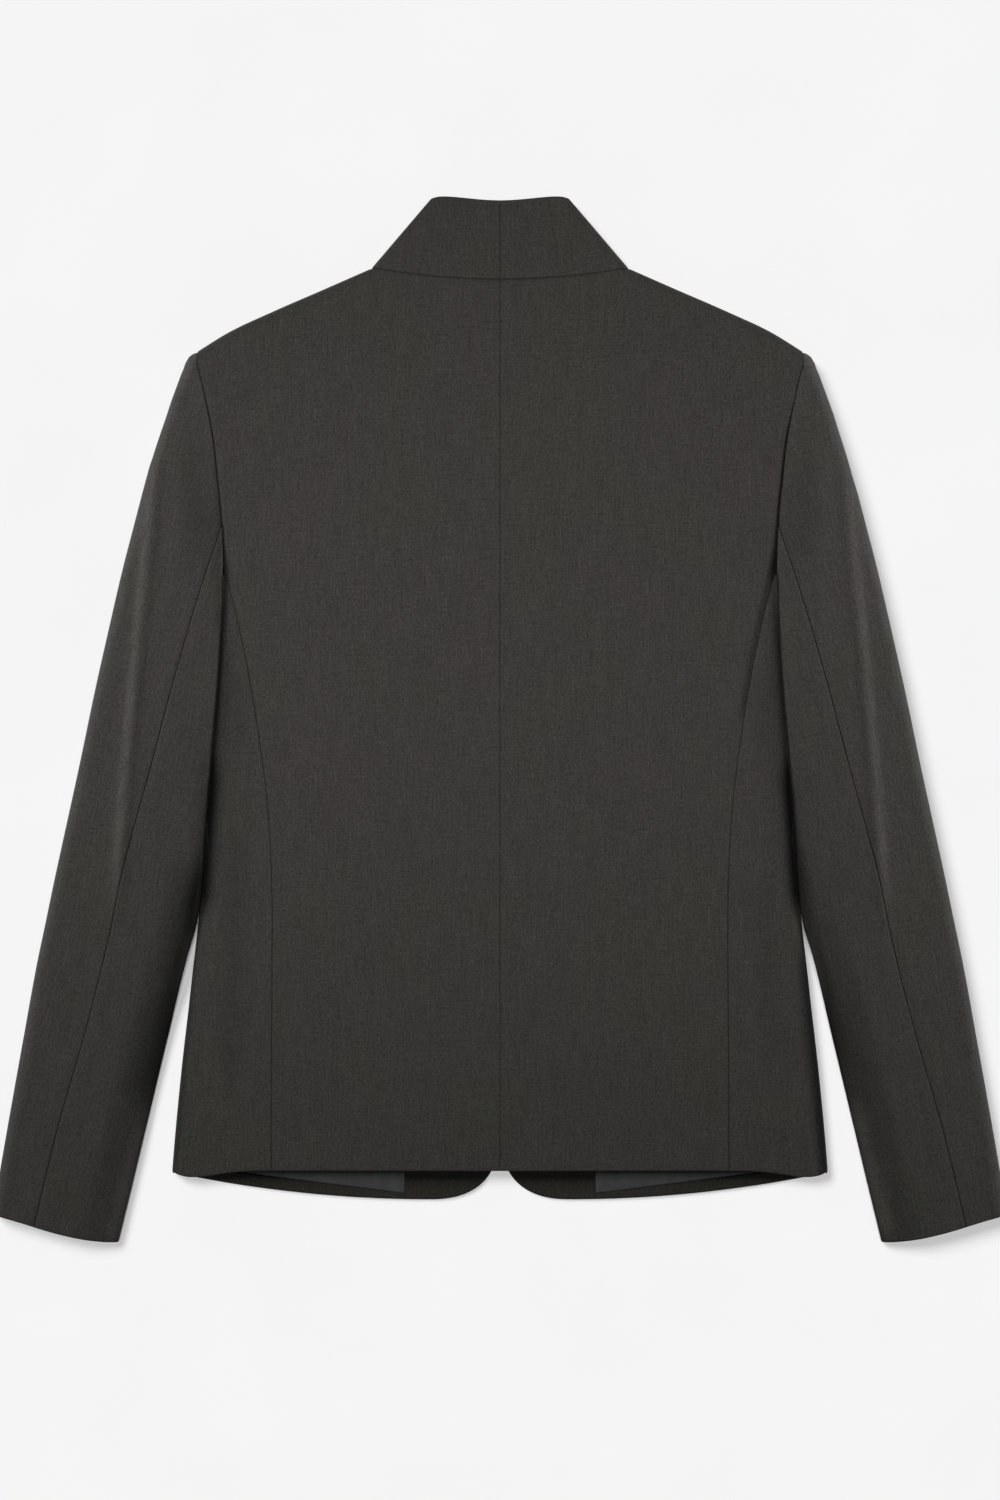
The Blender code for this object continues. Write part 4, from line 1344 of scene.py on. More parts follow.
@dataclass(frozen=True)
class HemInside:
    """Facing, turned up hem and lining inside the fronts, where they show below the back hem."""

    body: Body
    facing_edge: float = 64.6
    inset: float = 0.8
    top: float = -250.0
    end: float = 204.0
    turn_up_low: PlanPoint = PlanPoint(64.6, -322.0)
    turn_up_high: PlanPoint = PlanPoint(160.0, -309.7)
    facing_wall: float = 1.2
    lining_wall: float = 1.0
    strip_height: float = 64.0

    def turn_up_edge(self, x: Array) -> Array:
        """Upper edge of the hem turn-up."""
        share = (x - self.turn_up_low.x) / (self.turn_up_high.x - self.turn_up_low.x)
        return between(self.turn_up_low.y, self.turn_up_high.y, share)

    def _low(self, x: Array) -> Array:
        """Lower edge of the strips, just inside the front's own edge."""
        return self.body.front_outline(x) + self.inset

    def _strip(self, start: float, width: float, low: Line, high: Line, wall: float, power: float) -> Cloth:
        """Flat strip on the inside of the front, between two lines across.

        Args:
            start: Place of its inner edge.
            width: Width across.
            low: Lower edge.
            high: Upper edge.
            wall: Thickness.
            power: Crowding of its columns towards the inner edge.

        Returns:
            The laid strip.
        """
        x = start + width * shares(width) ** power
        rows = shares(self.strip_height)[:, None]
        y = between(low(x)[None], high(x)[None], rows)
        x = np.broadcast_to(x[None], y.shape)
        z = np.full(y.shape, self.body.wall + SEAM_GAP + wall)
        points = np.stack([x, y, z], axis=-1)
        normals = np.broadcast_to(np.array((0.0, 0.0, 1.0)), points.shape)
        return Cloth(points, normals, points[..., :2], np.ones(y.shape), np.full(y.shape, FAR))

    def panels(self) -> list[Panel]:
        """Strips inside one front: facing, turned up hem and lining."""
        seam, folded, hidden = Edge.SEAM, Edge.FOLDED, Edge.HIDDEN
        inner = self.body.front_edge + self.inset
        split = self.facing_edge + HALF_GAP
        facing_cut = Cut("facing", self.facing_wall, Edges(folded, hidden, folded, seam), "facing",
                         ("front",), bolt=6.0)
        hem_cut = Cut("turn_up", self.facing_wall, Edges(folded, seam, seam, hidden), "facing",
                      ("front",), bolt=7.0)
        lining_cut = Cut("lining", self.lining_wall, Edges(folded, hidden, seam, hidden), "lining",
                         ("front",), bolt=8.0)
        hidden_top = steady(self.top)
        facing_strip = self._strip(inner, self.facing_edge - HALF_GAP - inner, self._low, hidden_top,
                                   self.facing_wall, 2)
        hem_strip = self._strip(split, self.end - split, self._low,
                                lambda x: self.turn_up_edge(x) - HALF_GAP, self.facing_wall, 1)
        lining_strip = self._strip(split, self.end - split, lambda x: self.turn_up_edge(x) + HALF_GAP,
                                   hidden_top, self.lining_wall, 1)
        return [(facing_cut, facing_strip), (hem_cut, hem_strip), (lining_cut, lining_strip)]


Colour = tuple[float, float, float]
Span = tuple[float, float]
FULL: Span = (0.0, 1.0)
YARN_DEPTHS: Span = (0.1, 0.8)
NOISE_ROUGHNESS = 0.6
FLOAT, VECTOR = "NodeSocketFloat", "NodeSocketVector"


class Noise(NamedTuple):
    """Soft noise: its features to the metre on each axis, and its layers of finer noise."""

    across: float
    along: float
    detail: float


class Graph:
    """Builds the nodes of one tree. The numbers are those of the colour sockets of a mix node."""

    mix_inputs = (6, 7)
    mix_output = 2

    def __init__(self, tree: bpy.types.NodeTree) -> None:
        """Keep the tree."""
        self.tree = tree

    def add(self, kind: str, inputs: dict | None = None, **settings: object) -> bpy.types.Node:
        """Add a node.

        Args:
            kind: Type of the node.
            inputs: Values or sockets for its inputs, by name or number.
            settings: Values for its own settings.

        Returns:
            The node.
        """
        node = self.tree.nodes.new(kind)
        for name, value in settings.items():
            setattr(node, name, value)
        self.feed(node, inputs or {})
        return node

    def feed(self, node: bpy.types.Node, inputs: dict) -> None:
        """Link sockets to a node's inputs and set the others, by name or number."""
        for key, value in inputs.items():
            if isinstance(value, bpy.types.NodeSocket):
                self.tree.links.new(value, node.inputs[key])
            else:
                node.inputs[key].default_value = value

    def math(self, operation: str, *values: object) -> bpy.types.NodeSocket:
        """Result of a sum on one, two or three values or sockets."""
        return self.add("ShaderNodeMath", dict(enumerate(values)), operation=operation).outputs[0]

    def product(self, first: object, *others: object) -> bpy.types.NodeSocket:
        """Product of several values or sockets."""
        for other in others:
            first = self.math("MULTIPLY", first, other)
        return first

    def mix(self, share: object, start: object, end: object, blend: str = "MIX") -> bpy.types.NodeSocket:
        """Mix of two colours.

        Args:
            share: Share of the second colour.
            start: The first colour.
            end: The second colour.
            blend: How the two are mixed.

        Returns:
            The mixed colour.
        """
        inputs = {"Factor": share, **dict(zip(self.mix_inputs, (start, end)))}
        mixed = self.add("ShaderNodeMix", inputs, data_type="RGBA", blend_type=blend)
        return mixed.outputs[self.mix_output]

    def scaled(self, vector: object, scale: object) -> bpy.types.NodeSocket:
        """Vector or colour times a number."""
        return self.add("ShaderNodeVectorMath", {0: vector, "Scale": scale}, operation="SCALE").outputs[0]

    def ramp(self, value: object, given: Span, result: Span = FULL) -> bpy.types.NodeSocket:
        """Value moved from its own range to that of the result, and held at its ends."""
        inputs = dict(enumerate((value, *given, *result)))
        return self.add("ShaderNodeMapRange", inputs).outputs[0]

    def noise(self, place: bpy.types.NodeSocket, noise: Noise) -> bpy.types.NodeSocket:
        """Soft noise about a half, over places in metres."""
        scale = (noise.across, noise.along, 1.0)
        spread = self.add("ShaderNodeMapping", {"Vector": place, "Scale": scale}).outputs[0]
        inputs = {"Vector": spread, "Scale": 1.0, "Detail": noise.detail, "Roughness": NOISE_ROUGHNESS}
        return self.add("ShaderNodeTexNoise", inputs, noise_dimensions="2D").outputs[0]

    def bump(self, height: object, distance: float, strength: float = 1.0) -> bpy.types.NodeSocket:
        """Normal of a surface that is raised by a height."""
        inputs = {"Strength": strength, "Distance": distance, "Height": height}
        return self.add("ShaderNodeBump", inputs).outputs[0]


def shader_group(name: str, inputs: dict[str, str],
                 outputs: Sequence[str]) -> tuple[Graph, dict, bpy.types.Node]:
    """Start a shader node group.

    Args:
        name: Name of the group.
        inputs: Socket types of its inputs, by name.
        outputs: Names of its outputs, which are numbers.

    Returns:
        Its nodes, the sockets that bring its inputs, and the node that takes its outputs.
    """
    tree = bpy.data.node_groups.new(name, "ShaderNodeTree")
    for socket, kind in inputs.items():
        tree.interface.new_socket(socket, in_out="INPUT", socket_type=kind)
    for socket in outputs:
        tree.interface.new_socket(socket, in_out="OUTPUT", socket_type=FLOAT)
    start = tree.nodes.new("NodeGroupInput")
    brought = {socket: start.outputs[socket] for socket in inputs}
    return Graph(tree), brought, tree.nodes.new("NodeGroupOutput")


class ClothNodes(NamedTuple):
    """Sockets of the shared effects as placed in one material."""

    height: bpy.types.NodeSocket
    streak: bpy.types.NodeSocket
    cloud: bpy.types.NodeSocket
    tint: bpy.types.NodeSocket
    # Painted shade in seams, painted highlight along ridges and painted shade in troughs
    ditch: bpy.types.NodeSocket
    nap: bpy.types.NodeSocket
    trough: bpy.types.NodeSocket


class ClothEffects:
    """Node groups that several cloths share: woven yarns, uneven yarn, and painted shade and highlight.

    Each span is the range of a value over which its effect comes in. Those of the seam's distance and the
    crease's height are in millimetres.
    """

    warp_over: Span = (-0.35, 0.35)
    warp_noise = Noise(900.0, 62.0, 2.0)
    weft_noise = Noise(70.0, 1000.0, 2.0)
    speck_noise = Noise(700.0, 560.0, 1.5)
    warp_share = 0.28
    weft_share = 0.22
    speck_share = 0.50
    streak_span: Span = (0.32, 0.68)
    cloud_noise = Noise(160.0, 22.0, 3.0)
    cloud_span: Span = (0.30, 0.70)
    tint_noise = Noise(12.0, 9.0, 2.0)
    tint_span: Span = (0.36, 0.64)
    # Spans of the painted shade in a seam's ditch, the painted highlight along ridges and the painted shade
    # in troughs
    ditch_span: Span = (0.05, 0.65)
    painted_highlight_span: Span = (0.35, 4.1)
    trough_span: Span = (-3.2, -0.6)

    def __init__(self) -> None:
        """Build each group once."""
        self.weave = self._weave()
        self.melange = self._melange()
        self.painted_shade_and_highlight = self._painted_shade_and_highlight()

    def _weave(self) -> bpy.types.NodeTree:
        """Plain weave: warp over weft and weft over warp in turn."""
        graph, given, end = shader_group(
            "plain_weave", {"Grain": VECTOR, "Yarns per metre": FLOAT}, ("Height",))
        place = graph.add("ShaderNodeSeparateXYZ", {0: given["Grain"]})
        turns = graph.math("MULTIPLY", given["Yarns per metre"], float(np.pi))
        warp = graph.math("SINE", graph.math("MULTIPLY", place.outputs["X"], turns))
        weft = graph.math("SINE", graph.math("MULTIPLY", place.outputs["Y"], turns))
        over = graph.ramp(graph.math("MULTIPLY", warp, weft), self.warp_over)
        warp_height = graph.math("MULTIPLY", graph.math("ABSOLUTE", warp), over)
        under = graph.math("SUBTRACT", 1.0, over)
        weft_height = graph.math("MULTIPLY", graph.math("ABSOLUTE", weft), under)
        graph.feed(end, {"Height": graph.math("ADD", warp_height, weft_height)})
        return graph.tree

    def _melange(self) -> bpy.types.NodeTree:
        """Short streaks and specks of uneven yarn, and soft clouds of two tints."""
        graph, given, end = shader_group("melange_yarn", {"Grain": VECTOR}, ("Streak", "Cloud", "Tint"))
        grain = given["Grain"]
        warp = graph.noise(grain, self.warp_noise)
        weft = graph.noise(grain, self.weft_noise)
        speck = graph.noise(grain, self.speck_noise)
        streak = graph.math("MULTIPLY_ADD", warp, self.warp_share, graph.product(weft, self.weft_share))
        streak = graph.math("MULTIPLY_ADD", speck, self.speck_share, streak)
        graph.feed(end, {
            "Streak": graph.ramp(streak, self.streak_span),
            "Cloud": graph.ramp(graph.noise(grain, self.cloud_noise), self.cloud_span),
            "Tint": graph.ramp(graph.noise(grain, self.tint_noise), self.tint_span),
        })
        return graph.tree

    def _painted_shade_and_highlight(self) -> bpy.types.NodeTree:
        """Painted shade in the ditch of a seam, a painted highlight along a ridge, and painted shade down in
        a trough.
        """
        graph, given, end = shader_group(
            "painted_shade_and_highlight", {"Seam": FLOAT, "Crest": FLOAT}, ("Ditch", "Nap", "Trough"))
        graph.feed(end, {
            "Ditch": graph.ramp(given["Seam"], self.ditch_span, FULL[::-1]),
            "Nap": graph.ramp(given["Crest"], self.painted_highlight_span),
            "Trough": graph.ramp(given["Crest"], self.trough_span, FULL[::-1]),
        })
        return graph.tree

    def place(self, graph: Graph, yarns_per_metre: float) -> ClothNodes:
        """Place the effects in a material.

        Args:
            graph: The material's nodes.
            yarns_per_metre: Yarns of its weave.

        Returns:
            Their outputs.
        """
        grain = graph.add("ShaderNodeUVMap", uv_map="grain").outputs[0]
        seam = graph.add("ShaderNodeAttribute", attribute_name="seam").outputs["Fac"]
        crest = graph.add("ShaderNodeAttribute", attribute_name="crest").outputs["Fac"]
        weave = graph.add("ShaderNodeGroup", {"Grain": grain, "Yarns per metre": yarns_per_metre},
                          node_tree=self.weave)
        melange = graph.add("ShaderNodeGroup", {"Grain": grain}, node_tree=self.melange)
        painted_shade_and_highlight = graph.add("ShaderNodeGroup", {"Seam": seam, "Crest": crest}, node_tree=self.painted_shade_and_highlight)
        return ClothNodes(*weave.outputs, *melange.outputs, *painted_shade_and_highlight.outputs)


def new_material(name: str) -> tuple[bpy.types.Material, Graph, bpy.types.Node]:
    """Start a material.

    Args:
        name: Name of the material.

    Returns:
        The material, its nodes and its Principled shader.
    """
    made = bpy.data.materials.new(name)
    made.use_nodes = True
    return made, Graph(made.node_tree), made.node_tree.nodes["Principled BSDF"]


def opaque(colour: Colour) -> tuple[float, float, float, float]:
    """Colour with full cover."""
    return (*colour, 1.0)


@dataclass(frozen=True)
class WoolSuiting:
    """Worsted wool cloth: fine plain weave, streaky yarn, matt with a little sheen."""

    name: str
    dark: Colour
    light: Colour
    olive: Colour = (0.96, 1.0, 0.88)
    plum: Colour = (1.05, 0.97, 0.97)
    tint_share: float = 0.7
    cloud: Span = (0.95, 1.05)
    yarns_per_metre: float = 2200.0
    # The crevice, ditch and trough factors paint shade between yarns, in seams and in troughs, and the
    # painted highlight factor paints light along ridges
    crevice: float = 0.72
    ditch: float = 0.62
    nap: float = 2.5
    trough: float = 0.07
    streak_relief: float = 0.5
    bump: float = 0.00008
    roughness: Span = (0.92, 0.80)
    sheen: float = 0.08
    sheen_roughness: float = 0.5
    gloss: float = 0.16

    def material(self, effects: ClothEffects) -> bpy.types.Material:
        """Make the material.

        Args:
            effects: The shared node groups.

        Returns:
            The material.
        """
        made, graph, shader = new_material(self.name)
        cloth = effects.place(graph, self.yarns_per_metre)
        colour = graph.mix(cloth.streak, opaque(self.dark), opaque(self.light))
        tint = graph.mix(cloth.tint, opaque(self.olive), opaque(self.plum))
        colour = graph.mix(self.tint_share, colour, tint, "MULTIPLY")
        # Tone of the cloth: its own soft clouds, times painted shade between yarns, in seams and in troughs,
        # and a painted highlight along ridges
        shade = graph.product(
            graph.ramp(cloth.cloud, FULL, self.cloud),
            graph.ramp(cloth.height, YARN_DEPTHS, (self.crevice, 1.0)),
            graph.ramp(cloth.ditch, FULL, (1.0, self.ditch)),
            graph.ramp(cloth.nap, FULL, (1.0, self.nap)),
            graph.ramp(cloth.trough, FULL, (1.0, self.trough)),
        )
        relief = graph.math("MULTIPLY_ADD", cloth.streak, self.streak_relief, cloth.height)
        graph.feed(shader, {
            "Base Color": graph.scaled(colour, shade),
            "Roughness": graph.ramp(cloth.streak, FULL, self.roughness),
            "Normal": graph.bump(relief, self.bump),
            "Sheen Weight": self.sheen,
            "Sheen Roughness": self.sheen_roughness,
            "Specular IOR Level": self.gloss,
        })
        return made


@dataclass(frozen=True)
class SatinLining:
    """Smooth lining cloth, finely woven, with a soft shine."""

    name: str = "dark_lining"
    dark: Colour = (0.036, 0.037, 0.0385)
    light: Colour = (0.054, 0.055, 0.058)
    yarns_per_metre: float = 4200.0
    # The crevice and ditch factors paint shade between yarns and in seams
    crevice: float = 0.85
    ditch: float = 0.5
    bump: float = 0.00003
    roughness: Span = (0.36, 0.50)
    sheen: float = 0.05
    gloss: float = 0.45

    def material(self, effects: ClothEffects) -> bpy.types.Material:
        """Make the material.

        Args:
            effects: The shared node groups.

        Returns:
            The material.
        """
        made, graph, shader = new_material(self.name)
        cloth = effects.place(graph, self.yarns_per_metre)
        colour = graph.mix(cloth.cloud, opaque(self.dark), opaque(self.light))
        # Painted shade between yarns and in the ditch of a seam
        shade = graph.product(
            graph.ramp(cloth.height, YARN_DEPTHS, (self.crevice, 1.0)),
            graph.ramp(cloth.ditch, FULL, (1.0, self.ditch)),
        )
        graph.feed(shader, {
            "Base Color": graph.scaled(colour, shade),
            "Roughness": graph.ramp(cloth.streak, FULL, self.roughness),
            "Normal": graph.bump(cloth.height, self.bump),
            "Sheen Weight": self.sheen,
            "Specular IOR Level": self.gloss,
        })
        return made


@dataclass(frozen=True)
class SewingThread:
    """Spun polyester thread in the colour of the wool, with a slight twist."""

    name: str = "charcoal_thread"
    dark: Colour = (0.016, 0.015, 0.015)
    light: Colour = (0.050, 0.047, 0.045)
    plies_per_metre: float = 2600.0
    unevenness: float = 1.5
    bump: float = 0.00003
    bump_strength: float = 0.8
    roughness: Span = (0.45, 0.65)

    def material(self) -> bpy.types.Material:
        """Make the material, from its place on the blazer."""
        made, graph, shader = new_material(self.name)
        place = graph.add("ShaderNodeTexCoord").outputs["Object"]
        inputs = {"Vector": place, "Scale": self.plies_per_metre / (2 * np.pi), "Distortion": self.unevenness}
        twist = graph.add("ShaderNodeTexWave", inputs, bands_direction="DIAGONAL").outputs["Fac"]
        graph.feed(shader, {
            "Base Color": graph.mix(twist, opaque(self.dark), opaque(self.light)),
            "Roughness": graph.ramp(twist, FULL, self.roughness),
            "Normal": graph.bump(twist, self.bump, self.bump_strength),
        })
        return made


@dataclass(frozen=True)
class SeamThreads:
    """Stitches low in the seams, from one panel across to the next."""

    body: Body
    sleeve: Sleeve
    collar: StandCollar
    inside: HemInside
    pitch: float = 2.6
    radius: float = 0.13
    span: float = 1.1
    depth: float = 0.75
    lean: float = 0.3
    path_step: float = 3.0
    margin: float = 3.0
    facets: int = 6
    seed: int = 7

    def _run(self, start: float, end: float) -> Array:
        """Even places from one end of a seam to the other."""
        return np.linspace(start, end, int(abs(end - start) / self.path_step) + 2)

    def _up(self, start: float, end: float, seam: Line, height: Surface) -> Array:
        """Path of a seam that runs up the blazer.

        Args:
            start: Its lower end.
            end: Its upper end.
            seam: Its place across.
            height: Height of the stitches.

        Returns:
            Points of the path.
        """
        y = self._run(start + self.margin, end - self.margin)
        x = seam(y) + np.zeros_like(y)
        return np.stack([x, y, height(x, y)], axis=1)

    def _across(self, start: float, end: float, seam: Line, height: Surface) -> Array:
        """Path of a seam that runs across the blazer, as for one that runs up it."""
        x = self._run(start, end)
        y = seam(x)
        return np.stack([x, y, height(x, y)], axis=1)

    def paths(self, side: Side) -> list[Array]:
        """Stitched paths of one half, with those of the centre back on the wearer's right.

        Args:
            side: Half of the blazer.

        Returns:
            Points of each path, in millimetres.
        """
        body, sleeve, inside = self.body, self.sleeve, self.inside

        def on_body(x: Array, y: Array) -> Array:
            """Just below the back's face."""
            return body.top(x, y) - self.depth

        def on_sleeve(x: Array, y: Array) -> Array:
            """Just below the sleeve's upper face."""
            return sleeve.top(x, y) - self.depth

        def underneath(x: Array, y: Array) -> Array:
            """Just above the lower face."""
            return np.full_like(x, self.depth)

        def on_facing(x: Array, y: Array) -> Array:
            """Just below the face of the strips inside the front."""
            return np.full_like(x, body.wall + SEAM_GAP + inside.lining_wall - self.radius)

        cuff, = sleeve.cuff_ends([Column(sleeve.elbow_seam, 1)])
        low_front = float(body.front_outline(np.array(BODY_ROWS[0].side_front_seam)))
        centre = [
            self._up(body.back_hem, body.back_neck, np.zeros_like, on_body),
            self._up(body.back_neck, self.collar.back_top, np.zeros_like, on_body),
        ]
        half = [
            self._up(body.back_hem, body.underarm, body.back_side_seam, on_body),
            self._up(body.underarm, sleeve.elbow_top, body.back_armhole, on_body),
            self._up(sleeve.elbow_top, sleeve.cap_top, body.back_armhole, on_body),
            self._up(cuff, sleeve.elbow_top, sleeve.elbow_seam, on_sleeve),
            self._up(low_front, body.front_scye, body.front_side_seam, underneath),
            self._up(inside.turn_up_low.y, body.back_hem, steady(inside.facing_edge), on_facing),
            self._across(0.0, body.neck_point.x - self.collar.fold_round, body.neck_seam, on_body),
            self._across(inside.turn_up_low.x, inside.turn_up_high.x, inside.turn_up_edge, on_facing),
        ]
        mirror = np.array((side.value, 1.0, 1.0))
        return [path * mirror for path in half] + (centre if side is Side.RIGHT else [])

    def _tree(self) -> bpy.types.NodeTree:
        """Nodes that set a stitch across each path at an even pitch."""
        tree = bpy.data.node_groups.new("seam_stitches", "GeometryNodeTree")
        kinds = {"Geometry": "NodeSocketGeometry", "Pitch": FLOAT, "Radius": FLOAT, "Span": FLOAT,
                 "Lean": FLOAT, "Seed": "NodeSocketInt", "Material": "NodeSocketMaterial"}
        for name, kind in kinds.items():
            tree.interface.new_socket(name, in_out="INPUT", socket_type=kind)
        tree.interface.new_socket("Geometry", in_out="OUTPUT", socket_type="NodeSocketGeometry")
        graph = Graph(tree)
        given = graph.add("NodeGroupInput").outputs
        curve = graph.add("GeometryNodeMeshToCurve", {"Mesh": given["Geometry"]}).outputs["Curve"]
        places = graph.add("GeometryNodeCurveToPoints", {
            "Curve": curve, "Length": given["Pitch"]}, mode="LENGTH")
        tangent = places.outputs["Tangent"]
        across = graph.add("ShaderNodeVectorMath", {
            0: tangent, 1: (0.0, 0.0, 1.0)}, operation="CROSS_PRODUCT")
        most = given["Lean"]
        least = graph.math("MULTIPLY", most, -1.0)
        lean = graph.add("FunctionNodeRandomValue", {
            2: least, 3: most, "Seed": given["Seed"]}, data_type="FLOAT")
        slant = graph.scaled(tangent, lean.outputs[1])
        way = graph.add("ShaderNodeVectorMath", {0: across.outputs[0], 1: slant}, operation="ADD")
        turn = graph.add("FunctionNodeAlignRotationToVector", {"Vector": way.outputs[0]}, axis="Z")
        stitch = graph.add("GeometryNodeMeshCylinder", {
            "Vertices": self.facets, "Radius": given["Radius"], "Depth": given["Span"]}, fill_type="NGON")
        set_out = graph.add("GeometryNodeInstanceOnPoints", {
            "Points": places.outputs["Points"], "Instance": stitch.outputs["Mesh"],
            "Rotation": turn.outputs[0]})
        real = graph.add("GeometryNodeRealizeInstances", {"Geometry": set_out.outputs[0]})
        dressed = graph.add("GeometryNodeSetMaterial", {
            "Geometry": real.outputs[0], "Material": given["Material"]})
        graph.add("NodeGroupOutput", {"Geometry": dressed.outputs[0]})
        return tree

    def build(self, thread: bpy.types.Material) -> bpy.types.Object:
        """Sew every seam.

        Args:
            thread: The thread.

        Returns:
            The stitches, as one piece.
        """
        points: list[Array] = []
        links: list[tuple[int, int]] = []
        for path in [path for side in Side for path in self.paths(side)]:
            start = sum(len(part) for part in points)
            points.append(path * MILLIMETRE)
            links += [(start + step, start + step + 1) for step in range(len(path) - 1)]
        mesh = bpy.data.meshes.new("seam_paths")
        mesh.from_pydata(np.concatenate(points).tolist(), links, [])
        guide = add_object("seam_paths", mesh)
        tree = self._tree()
        sewing = guide.modifiers.new("sewing", "NODES")
        sewing.node_group = tree
        values = {"Pitch": self.pitch * MILLIMETRE, "Radius": self.radius * MILLIMETRE, "Lean": self.lean,
                  "Span": self.span * MILLIMETRE, "Seed": self.seed, "Material": thread}
        for item in tree.interface.items_tree:
            if item.in_out == "INPUT" and item.name in values:
                sewing[item.identifier] = values[item.name]
        ready = guide.evaluated_get(bpy.context.evaluated_depsgraph_get())
        sewn = bpy.data.meshes.new_from_object(ready)
        sewn.name = "seam_stitches"
        bpy.data.objects.remove(guide)
        piece = add_object("seam_stitches", sewn)
        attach(piece, "root")
        LOG.info("seam_stitches: %d faces", len(sewn.polygons))
        return piece


class Lit(Enum):
    """Part of the set that a lamp lights."""

    SURFACE = "surface under the blazer"
    BODY = "body, collar, lining and stitches"
    INSIDE = "facing and turned up hem"
    SLEEVE_RIGHT = "sleeve on the wearer's right"
    SLEEVE_LEFT = "sleeve on the wearer's left"


class Lamp(NamedTuple):
    """Studio light, aimed at the middle of the set."""

    name: str
    kind: str
    strength: float
    spread: float
    place: tuple[float, float, float]
    lights: Lit


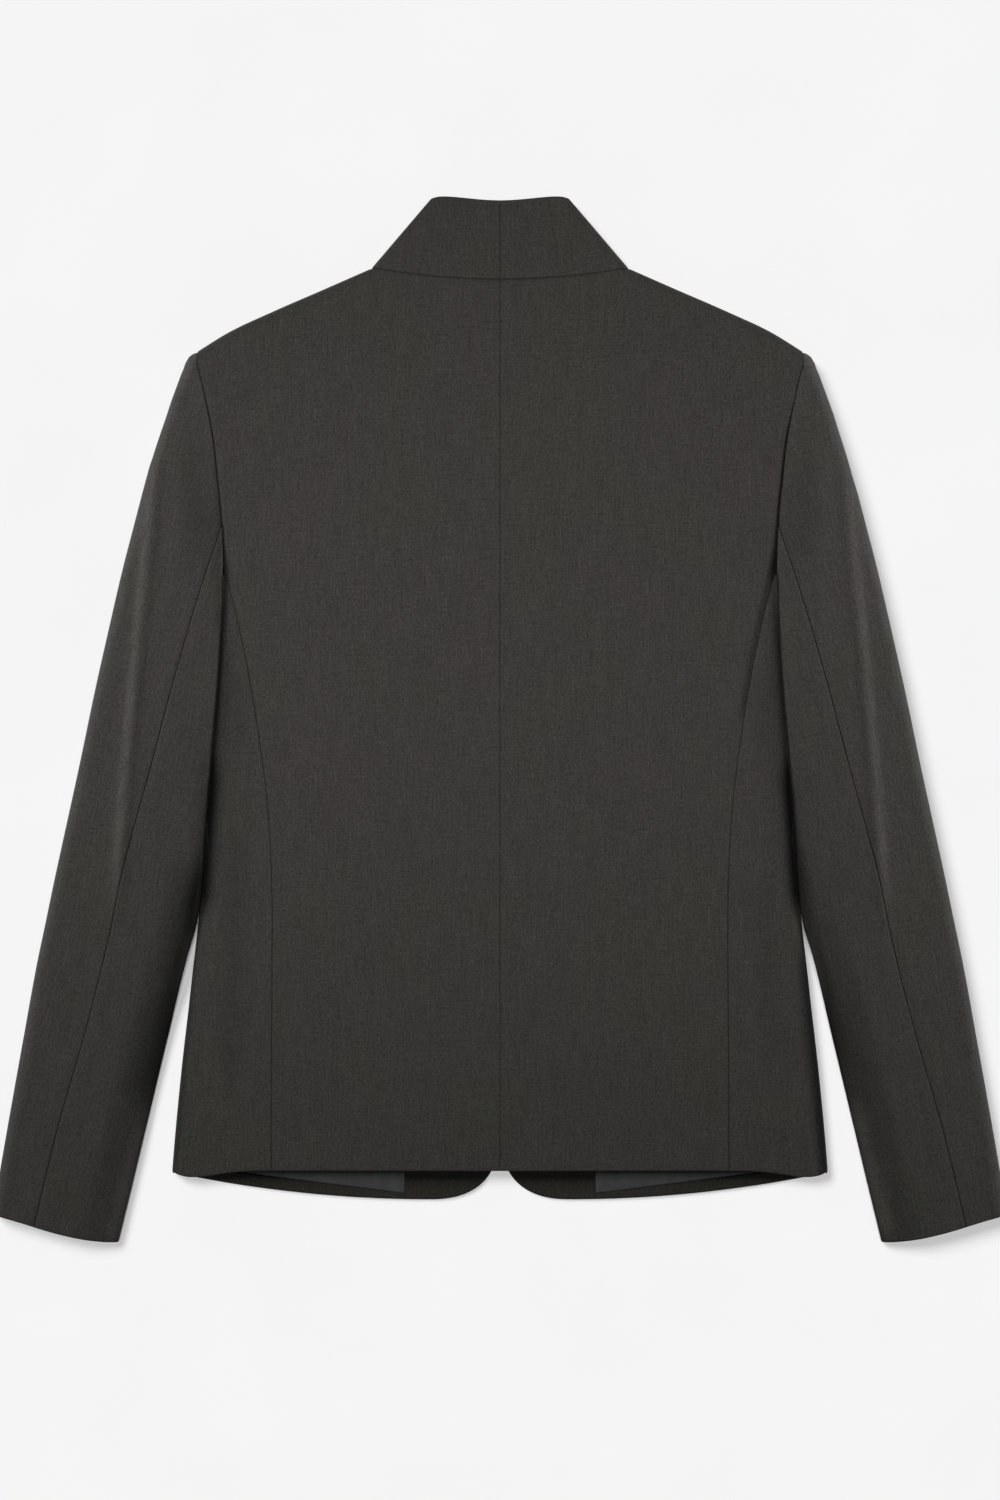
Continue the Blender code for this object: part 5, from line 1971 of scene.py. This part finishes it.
@dataclass(frozen=True)
class Studio:
    """Pale surface, soft lamps for each part of the set, and a camera straight above."""

    floor_size: float = 8.0
    floor_drop: float = 0.0004
    floor_dark: Colour = (0.885, 0.885, 0.885)
    floor_light: Colour = (0.905, 0.905, 0.905)
    floor_mottle: Noise = Noise(9.0, 9.0, 2.0)
    floor_roughness: Span = (0.88, 0.96)
    floor_gloss: float = 0.1
    ambient: float = 0.06
    lamps: tuple[Lamp, ...] = (
        Lamp("window", "SUN", 1.87, 28.0, (-1.4, 1.5, 2.0), Lit.SURFACE),
        Lamp("overhead", "SUN", 1.706, 20.0, (0.0, 0.0, 2.0), Lit.SURFACE),
        Lamp("softbox_left", "AREA", 2.75, 0.4, (-0.75, 0.1, 0.42), Lit.BODY),
        Lamp("softbox_right", "AREA", 2.5, 0.4, (0.75, 0.1, 0.42), Lit.BODY),
        Lamp("softbox_top", "AREA", 3.05, 0.6, (-0.05, 0.12, 0.7), Lit.BODY),
        Lamp("hem_lamp", "AREA", 9.0, 0.6, (0.0, 0.5, 0.6), Lit.INSIDE),
        Lamp("hem_fill", "AREA", 0.75, 0.6, (0.0, -0.75, 0.5), Lit.INSIDE),
        Lamp("sleeve_lamp_left", "AREA", 17.2, 0.5, (-1.0, 0.45, 0.85), Lit.SLEEVE_LEFT),
        Lamp("sleeve_fill_left", "AREA", 0.5, 0.4, (-0.25, 0.35, 0.5), Lit.SLEEVE_LEFT),
        Lamp("sleeve_lamp_right", "AREA", 16.2, 0.5, (1.0, 0.45, 0.85), Lit.SLEEVE_RIGHT),
        Lamp("sleeve_fill_right", "AREA", 0.5, 0.4, (0.25, 0.35, 0.5), Lit.SLEEVE_RIGHT),
    )
    lens: float = 85.0
    sensor: float = 36.0
    camera_place: tuple[float, float, float] = (0.0, -0.0207, 2.408)

    def _surface(self) -> bpy.types.Object:
        """Lay the matt paper surface, very slightly uneven."""
        made, graph, shader = new_material("pale_paper")
        place = graph.add("ShaderNodeTexCoord").outputs["Object"]
        mottle = graph.noise(place, self.floor_mottle)
        graph.feed(shader, {
            "Base Color": graph.mix(mottle, opaque(self.floor_dark), opaque(self.floor_light)),
            "Roughness": graph.ramp(mottle, FULL, self.floor_roughness),
            "Specular IOR Level": self.floor_gloss,
        })
        reach = self.floor_size / 2
        corners = [(-reach, -reach), (reach, -reach), (reach, reach), (-reach, reach)]
        mesh = bpy.data.meshes.new("surface")
        mesh.from_pydata([(x, y, -self.floor_drop) for x, y in corners], [], [(0, 1, 2, 3)])
        mesh.materials.append(made)
        surface = add_object("surface", mesh)
        return surface

    def _hang(self, lamp: Lamp, lights: Sequence[bpy.types.Object]) -> None:
        """Hang a light.

        Args:
            lamp: The light.
            lights: What it lights.
        """
        light = bpy.data.lights.new(lamp.name, lamp.kind)
        light.energy = lamp.strength
        if lamp.kind == "SUN":
            light.angle = float(np.radians(lamp.spread))
        else:
            light.size = lamp.spread
        hung = add_object(lamp.name, light)
        hung.location = lamp.place
        hung.rotation_euler = (-Vector(lamp.place)).to_track_quat("-Z", "Y").to_euler()
        lit = bpy.data.collections.new(f"lit_by_{lamp.name}")
        for item in lights:
            lit.objects.link(item)
        hung.light_linking.receiver_collection = lit

    def build(self, parts: dict[Lit, list[bpy.types.Object]]) -> None:
        """Lay the surface, light the set and place the camera.

        Args:
            parts: The pieces of the blazer, by the lamps that light them.
        """
        scene = bpy.context.scene
        lit = {**parts, Lit.SURFACE: [self._surface()]}
        for lamp in self.lamps:
            self._hang(lamp, lit[lamp.lights])
        lens = bpy.data.cameras.new("camera")
        lens.lens = self.lens
        lens.sensor_width = self.sensor
        camera = add_object("camera", lens)
        camera.location = self.camera_place
        scene.camera = camera
        world = bpy.data.worlds.new("room")
        world.use_nodes = True
        sky = world.node_tree.nodes["Background"]
        sky.inputs["Color"].default_value = (1.0, 1.0, 1.0, 1.0)
        sky.inputs["Strength"].default_value = self.ambient
        scene.world = world
        scene.view_settings.view_transform = "Standard"


WOOL = WoolSuiting("charcoal_wool", dark=(0.0332, 0.0316, 0.0302), light=(0.0688, 0.0658, 0.0634))
WOOL_INSIDE = WoolSuiting("charcoal_wool_inside", dark=(0.021, 0.0209, 0.0174), light=(0.0405, 0.040, 0.034))


def main() -> None:
    """Make the cloths, sew the blazer, stitch its seams and set up the studio."""
    effects = ClothEffects()
    cloths = {"wool": WOOL, "facing": WOOL_INSIDE, "lining": SatinLining()}
    tailor = Tailor({slot: cloth.material(effects) for slot, cloth in cloths.items()})
    thread = SewingThread().material()
    body = Body()
    sleeve = Sleeve(body)
    collar = StandCollar(body)
    inside = HemInside(body)
    panels, arms, neck, strips = (form.panels() for form in (body, sleeve, collar, inside))
    parts: dict[Lit, list[bpy.types.Object]] = {Lit.BODY: [], Lit.INSIDE: []}
    for side, arm in ((Side.RIGHT, Lit.SLEEVE_RIGHT), (Side.LEFT, Lit.SLEEVE_LEFT)):
        parts[Lit.BODY] += tailor.sew_all(panels, side)
        parts[arm] = tailor.sew_all(arms, side)
        parts[Lit.BODY] += tailor.sew_all(neck, side)
        *turned_in, lining_strip = tailor.sew_all(strips, side)
        parts[Lit.INSIDE] += turned_in
        parts[Lit.BODY].append(lining_strip)
    parts[Lit.BODY].append(SeamThreads(body, sleeve, collar, inside).build(thread))
    Studio().build(parts)


if __name__ == "__main__":
    logging.basicConfig(level=logging.INFO, format="%(message)s")
    main()
